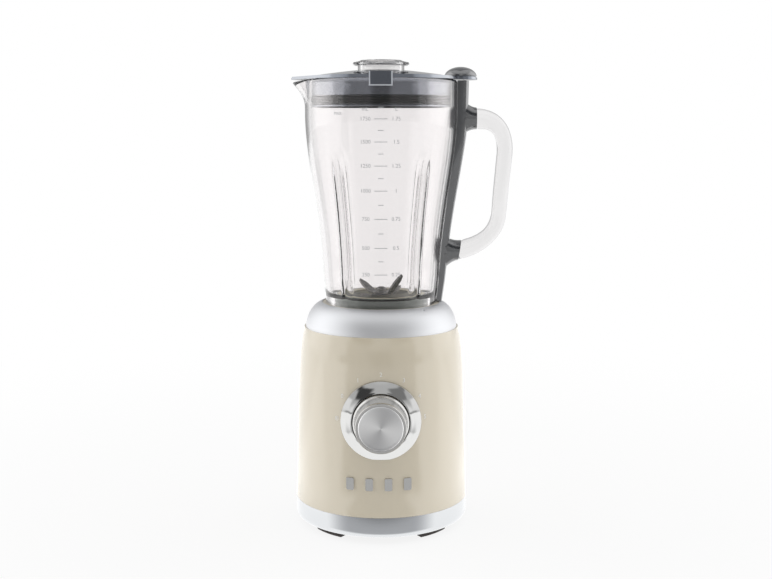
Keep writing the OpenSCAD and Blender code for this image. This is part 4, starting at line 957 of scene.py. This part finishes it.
def ringMesh(name, radius, width, x, z, depth, around=32):  # flat ring standing up, in millimetres
    points, faces = [], []
    for k in range(around):
        a = 2 * math.pi * k / around
        for r in (radius - width, radius):
            for y in (-depth / 2, depth / 2):
                points.append(((x + r * math.cos(a)) * mm, y * mm, (z + r * math.sin(a)) * mm))
    for k in range(around):
        a, b = 4 * k, 4 * ((k + 1) % around)
        faces += [(a, b, b + 2, a + 2), (a + 1, a + 3, b + 3, b + 1)]  # front and back
        faces += [(a, a + 1, b + 1, b), (a + 2, b + 2, b + 3, a + 3)]  # inside and outside
    return outwards(meshFrom(name, points, faces))


def dialPlace(degrees):
    a = math.radians(degrees)
    return dialValues["radius"] * math.cos(a), knobHeight / mm + dialValues["radius"] * math.sin(a)


def makeDial():
    d = dialValues
    marks = [letters(text, d["digitSize"], *dialPlace(degrees), d["depth"]) for degrees, text in d["marks"]]
    for name in ("pulseRing", "pulseDot"):
        marks.append(ringMesh(name, *d[name], *dialPlace(d["pulseAngle"]), d["depth"]))
    return printed("dialMarks", marks, d["depth"], shellRadius)


newPiece("dialMarks", makeDial(), "base", None, whiteInk)
print("dial printed")


studio = {
    "eye": (0.00433, -1.043, 0.3585),    # metres
    "tilt": 8.0,                         # degrees down
    "lens": 54.51,
    "wall": 1.15,                        # brightness of the pale walls at the sides
    "softbox": 1.66,                     # of the tall lamps in front of them
    "ceiling": 0.66,
    "skylight": 0.35,                    # more of it straight above
    "ahead": 0.47,                       # the room behind the camera
    "screen": (0.90, 0.32),              # how dark the screen is, and how much less so at one side
    "stand": 0.5,                        # the same for the camera's stand
    "rear": 0.60,                        # and for the wall behind, which draws the outlines
    "seenThrough": 0.55,                 # brightness behind glass where the outlines bend it away
}
roomZones = {           # where each part fades in: degrees round from the camera, or the sine of its height
    "ceiling": (0.10, 0.30),
    "skylight": (0.72, 0.86),
    "wallFrom": (56, 64),
    "wallTop": (0.70, 0.80),
    "ledgeFrom": (46, 53),
    "ledgeLow": (0.02, 0.05),
    "ledgeTop": (0.30, 0.36),
    "softboxFrom": (76, 83),
    "softboxTo": (118, 130),
    "screenFrom": (11, 15),
    "screenTo": (42, 46),
    "screenLow": (0.23, 0.28),
    "screenTop": (0.62, 0.67),
    "screenSides": (-0.1, 0.1),
    "standTo": (9, 20),
    "standTop": (0.08, 0.20),
    "rear": (134, 156),
    "throughBack": (0.35, 0.80),
    "throughSides": (0.90, 0.98),
}


def makeCamera():
    lens = bpy.data.cameras.new("studioCamera")
    lens.lens = studio["lens"]
    lens.sensor_width = 36
    lens.clip_start = 0.01
    lens.clip_end = 100
    camera = bpy.data.objects.new("studioCamera", lens)
    camera.location = studio["eye"]
    camera.rotation_euler = (math.radians(90 - studio["tilt"]), 0, 0)
    bpy.context.scene.collection.objects.link(camera)
    bpy.context.scene.camera = camera


def turnFrom(x, y):  # 0 towards the camera, pi behind the object
    return abs(x).maths("ARCTAN2", abs(x), -y)


def makeWorld():  # softboxes at both sides, a grey room ahead, plain white where it is looked at directly
    world = bpy.data.worlds.new("studioRoom")
    world.use_nodes = True
    graph = Graph(world.node_tree)
    x, y, z = graph.parts(graph.add("ShaderNodeTexCoord", output="Generated"))
    turn = turnFrom(x, y)

    def beside(zone):
        return turn.step(*[math.radians(edge) for edge in roomZones[zone]])

    def above(zone):
        return z.step(*roomZones[zone])

    room = studio["ahead"] + above("ceiling") * (studio["ceiling"] - studio["ahead"])
    room = room + studio["skylight"] * above("skylight")
    wall = beside("wallFrom") * (1 - above("wallTop"))
    ledge = beside("ledgeFrom") * above("ledgeLow") * (1 - above("ledgeTop"))
    wall = (wall + ledge).clamp()
    softbox = beside("softboxFrom") * (1 - beside("softboxTo"))
    side = studio["wall"] + softbox * (studio["softbox"] - studio["wall"])
    dark, less = studio["screen"]
    screen = beside("screenFrom") * (1 - beside("screenTo")) * above("screenLow") * (1 - above("screenTop"))
    screen = screen * (dark - less * x.step(*roomZones["screenSides"]))
    stand = (1 - beside("standTo")) * (1 - above("standTop"))
    light = (room + wall * (side - room)) * (1 - screen)
    light = light * (1 - studio["stand"] * stand) * (1 - studio["rear"] * beside("rear"))
    openly = y.step(*roomZones["throughBack"]) + abs(x).step(*roomZones["throughSides"])
    through = studio["seenThrough"] + (1 - studio["seenThrough"]) * openly.clamp()
    path = graph.add("ShaderNodeLightPath", output="Is Camera Ray")
    glass = path.out("Is Transmission Ray") * (path.out("Glossy Depth") + path.out("Diffuse Depth") < 0.5)
    level = path + (1 - path) * (glass * through + (1 - glass) * light)
    sky = graph.add("ShaderNodeBackground", {}, {"Color": (1.0, 1.0, 1.0, 1.0), "Strength": level})
    graph.add("ShaderNodeOutputWorld", {}, {"Surface": sky})
    bpy.context.scene.world = world


floorLooks = {
    "radius": 6.0,               # metres
    "grey": 0.86,
    "glow": (0.87, 1.0),         # share of plain white seen near the foot and far out
    "far": (0.1, 0.9),           # metres over which it changes
    "mirrored": 0.9,             # and the share that polished things show
    "dull": 0.62,                # brightness mirrored from the floor in front
    "bright": 0.84,              # more of it beside the machine and under it
    "lamp": 0.35,                # and under the lamps
    "brightFrom": (43, 52),      # degrees round from the camera
    "nearRadius": (0.22, 0.26),
    "nearAcross": (0.095, 0.12),
    "nearFront": (-0.145, -0.131),
    "lampAcross": (0.12, 0.19),
    "lampFront": (-0.14, -0.07),
    "lampBack": (0.10, 0.24),
}


def makeFloor():
    looks = floorLooks
    around, reach = 96, looks["radius"]
    ring = [2 * math.pi * k / around for k in range(around)]
    points = [(0.0, 0.0, 0.0)] + [(reach * math.cos(a), reach * math.sin(a), 0.0) for a in ring]
    faces = [(0, 1 + k, 1 + (k + 1) % around) for k in range(around)]
    mesh = meshFrom("studioFloor", points, faces)
    material = bpy.data.materials.new("floorPale")
    material.use_nodes = True
    graph = Graph(material.node_tree)
    x, y, _ = graph.parts(graph.objectPlace())
    radius = reachOf(x, y)
    path = graph.add("ShaderNodeLightPath", output="Is Camera Ray")
    clear = (path + path.out("Is Transmission Ray")).clamp()
    lamp = abs(x).step(*looks["lampAcross"]) * y.step(*looks["lampFront"]) * (1 - y.step(*looks["lampBack"]))
    near = (abs(x).step(*looks["nearAcross"]) + y.step(*looks["nearFront"])).clamp()
    near = near * (1 - radius.step(*looks["nearRadius"]))
    beside = turnFrom(x, y).step(*[math.radians(edge) for edge in looks["brightFrom"]])
    mirrored = looks["dull"] + looks["bright"] * (beside + near).clamp() + looks["lamp"] * lamp
    low, high = looks["glow"]
    share = clear * (low + (high - low) * radius.step(*looks["far"]))
    share = share + (1 - clear) * path.out("Is Glossy Ray") * looks["mirrored"]
    lit = graph.add("ShaderNodeBsdfDiffuse", {}, {"Color": (looks["grey"],) * 3 + (1.0,)})
    glow = graph.add("ShaderNodeEmission", {}, {
        "Color": (1.0, 1.0, 1.0, 1.0), "Strength": clear + (1 - clear) * mirrored})
    mixed = graph.add("ShaderNodeMixShader", {}, {0: share, 1: lit, 2: glow})
    graph.add("ShaderNodeOutputMaterial", {}, {"Surface": mixed})
    mesh.materials.append(material)
    floor = bpy.data.objects.new("studioFloor", mesh)
    bpy.context.scene.collection.objects.link(floor)


makeCamera()
makeWorld()
makeFloor()
bpy.context.scene.view_settings.view_transform = "Standard"
print("studio set")
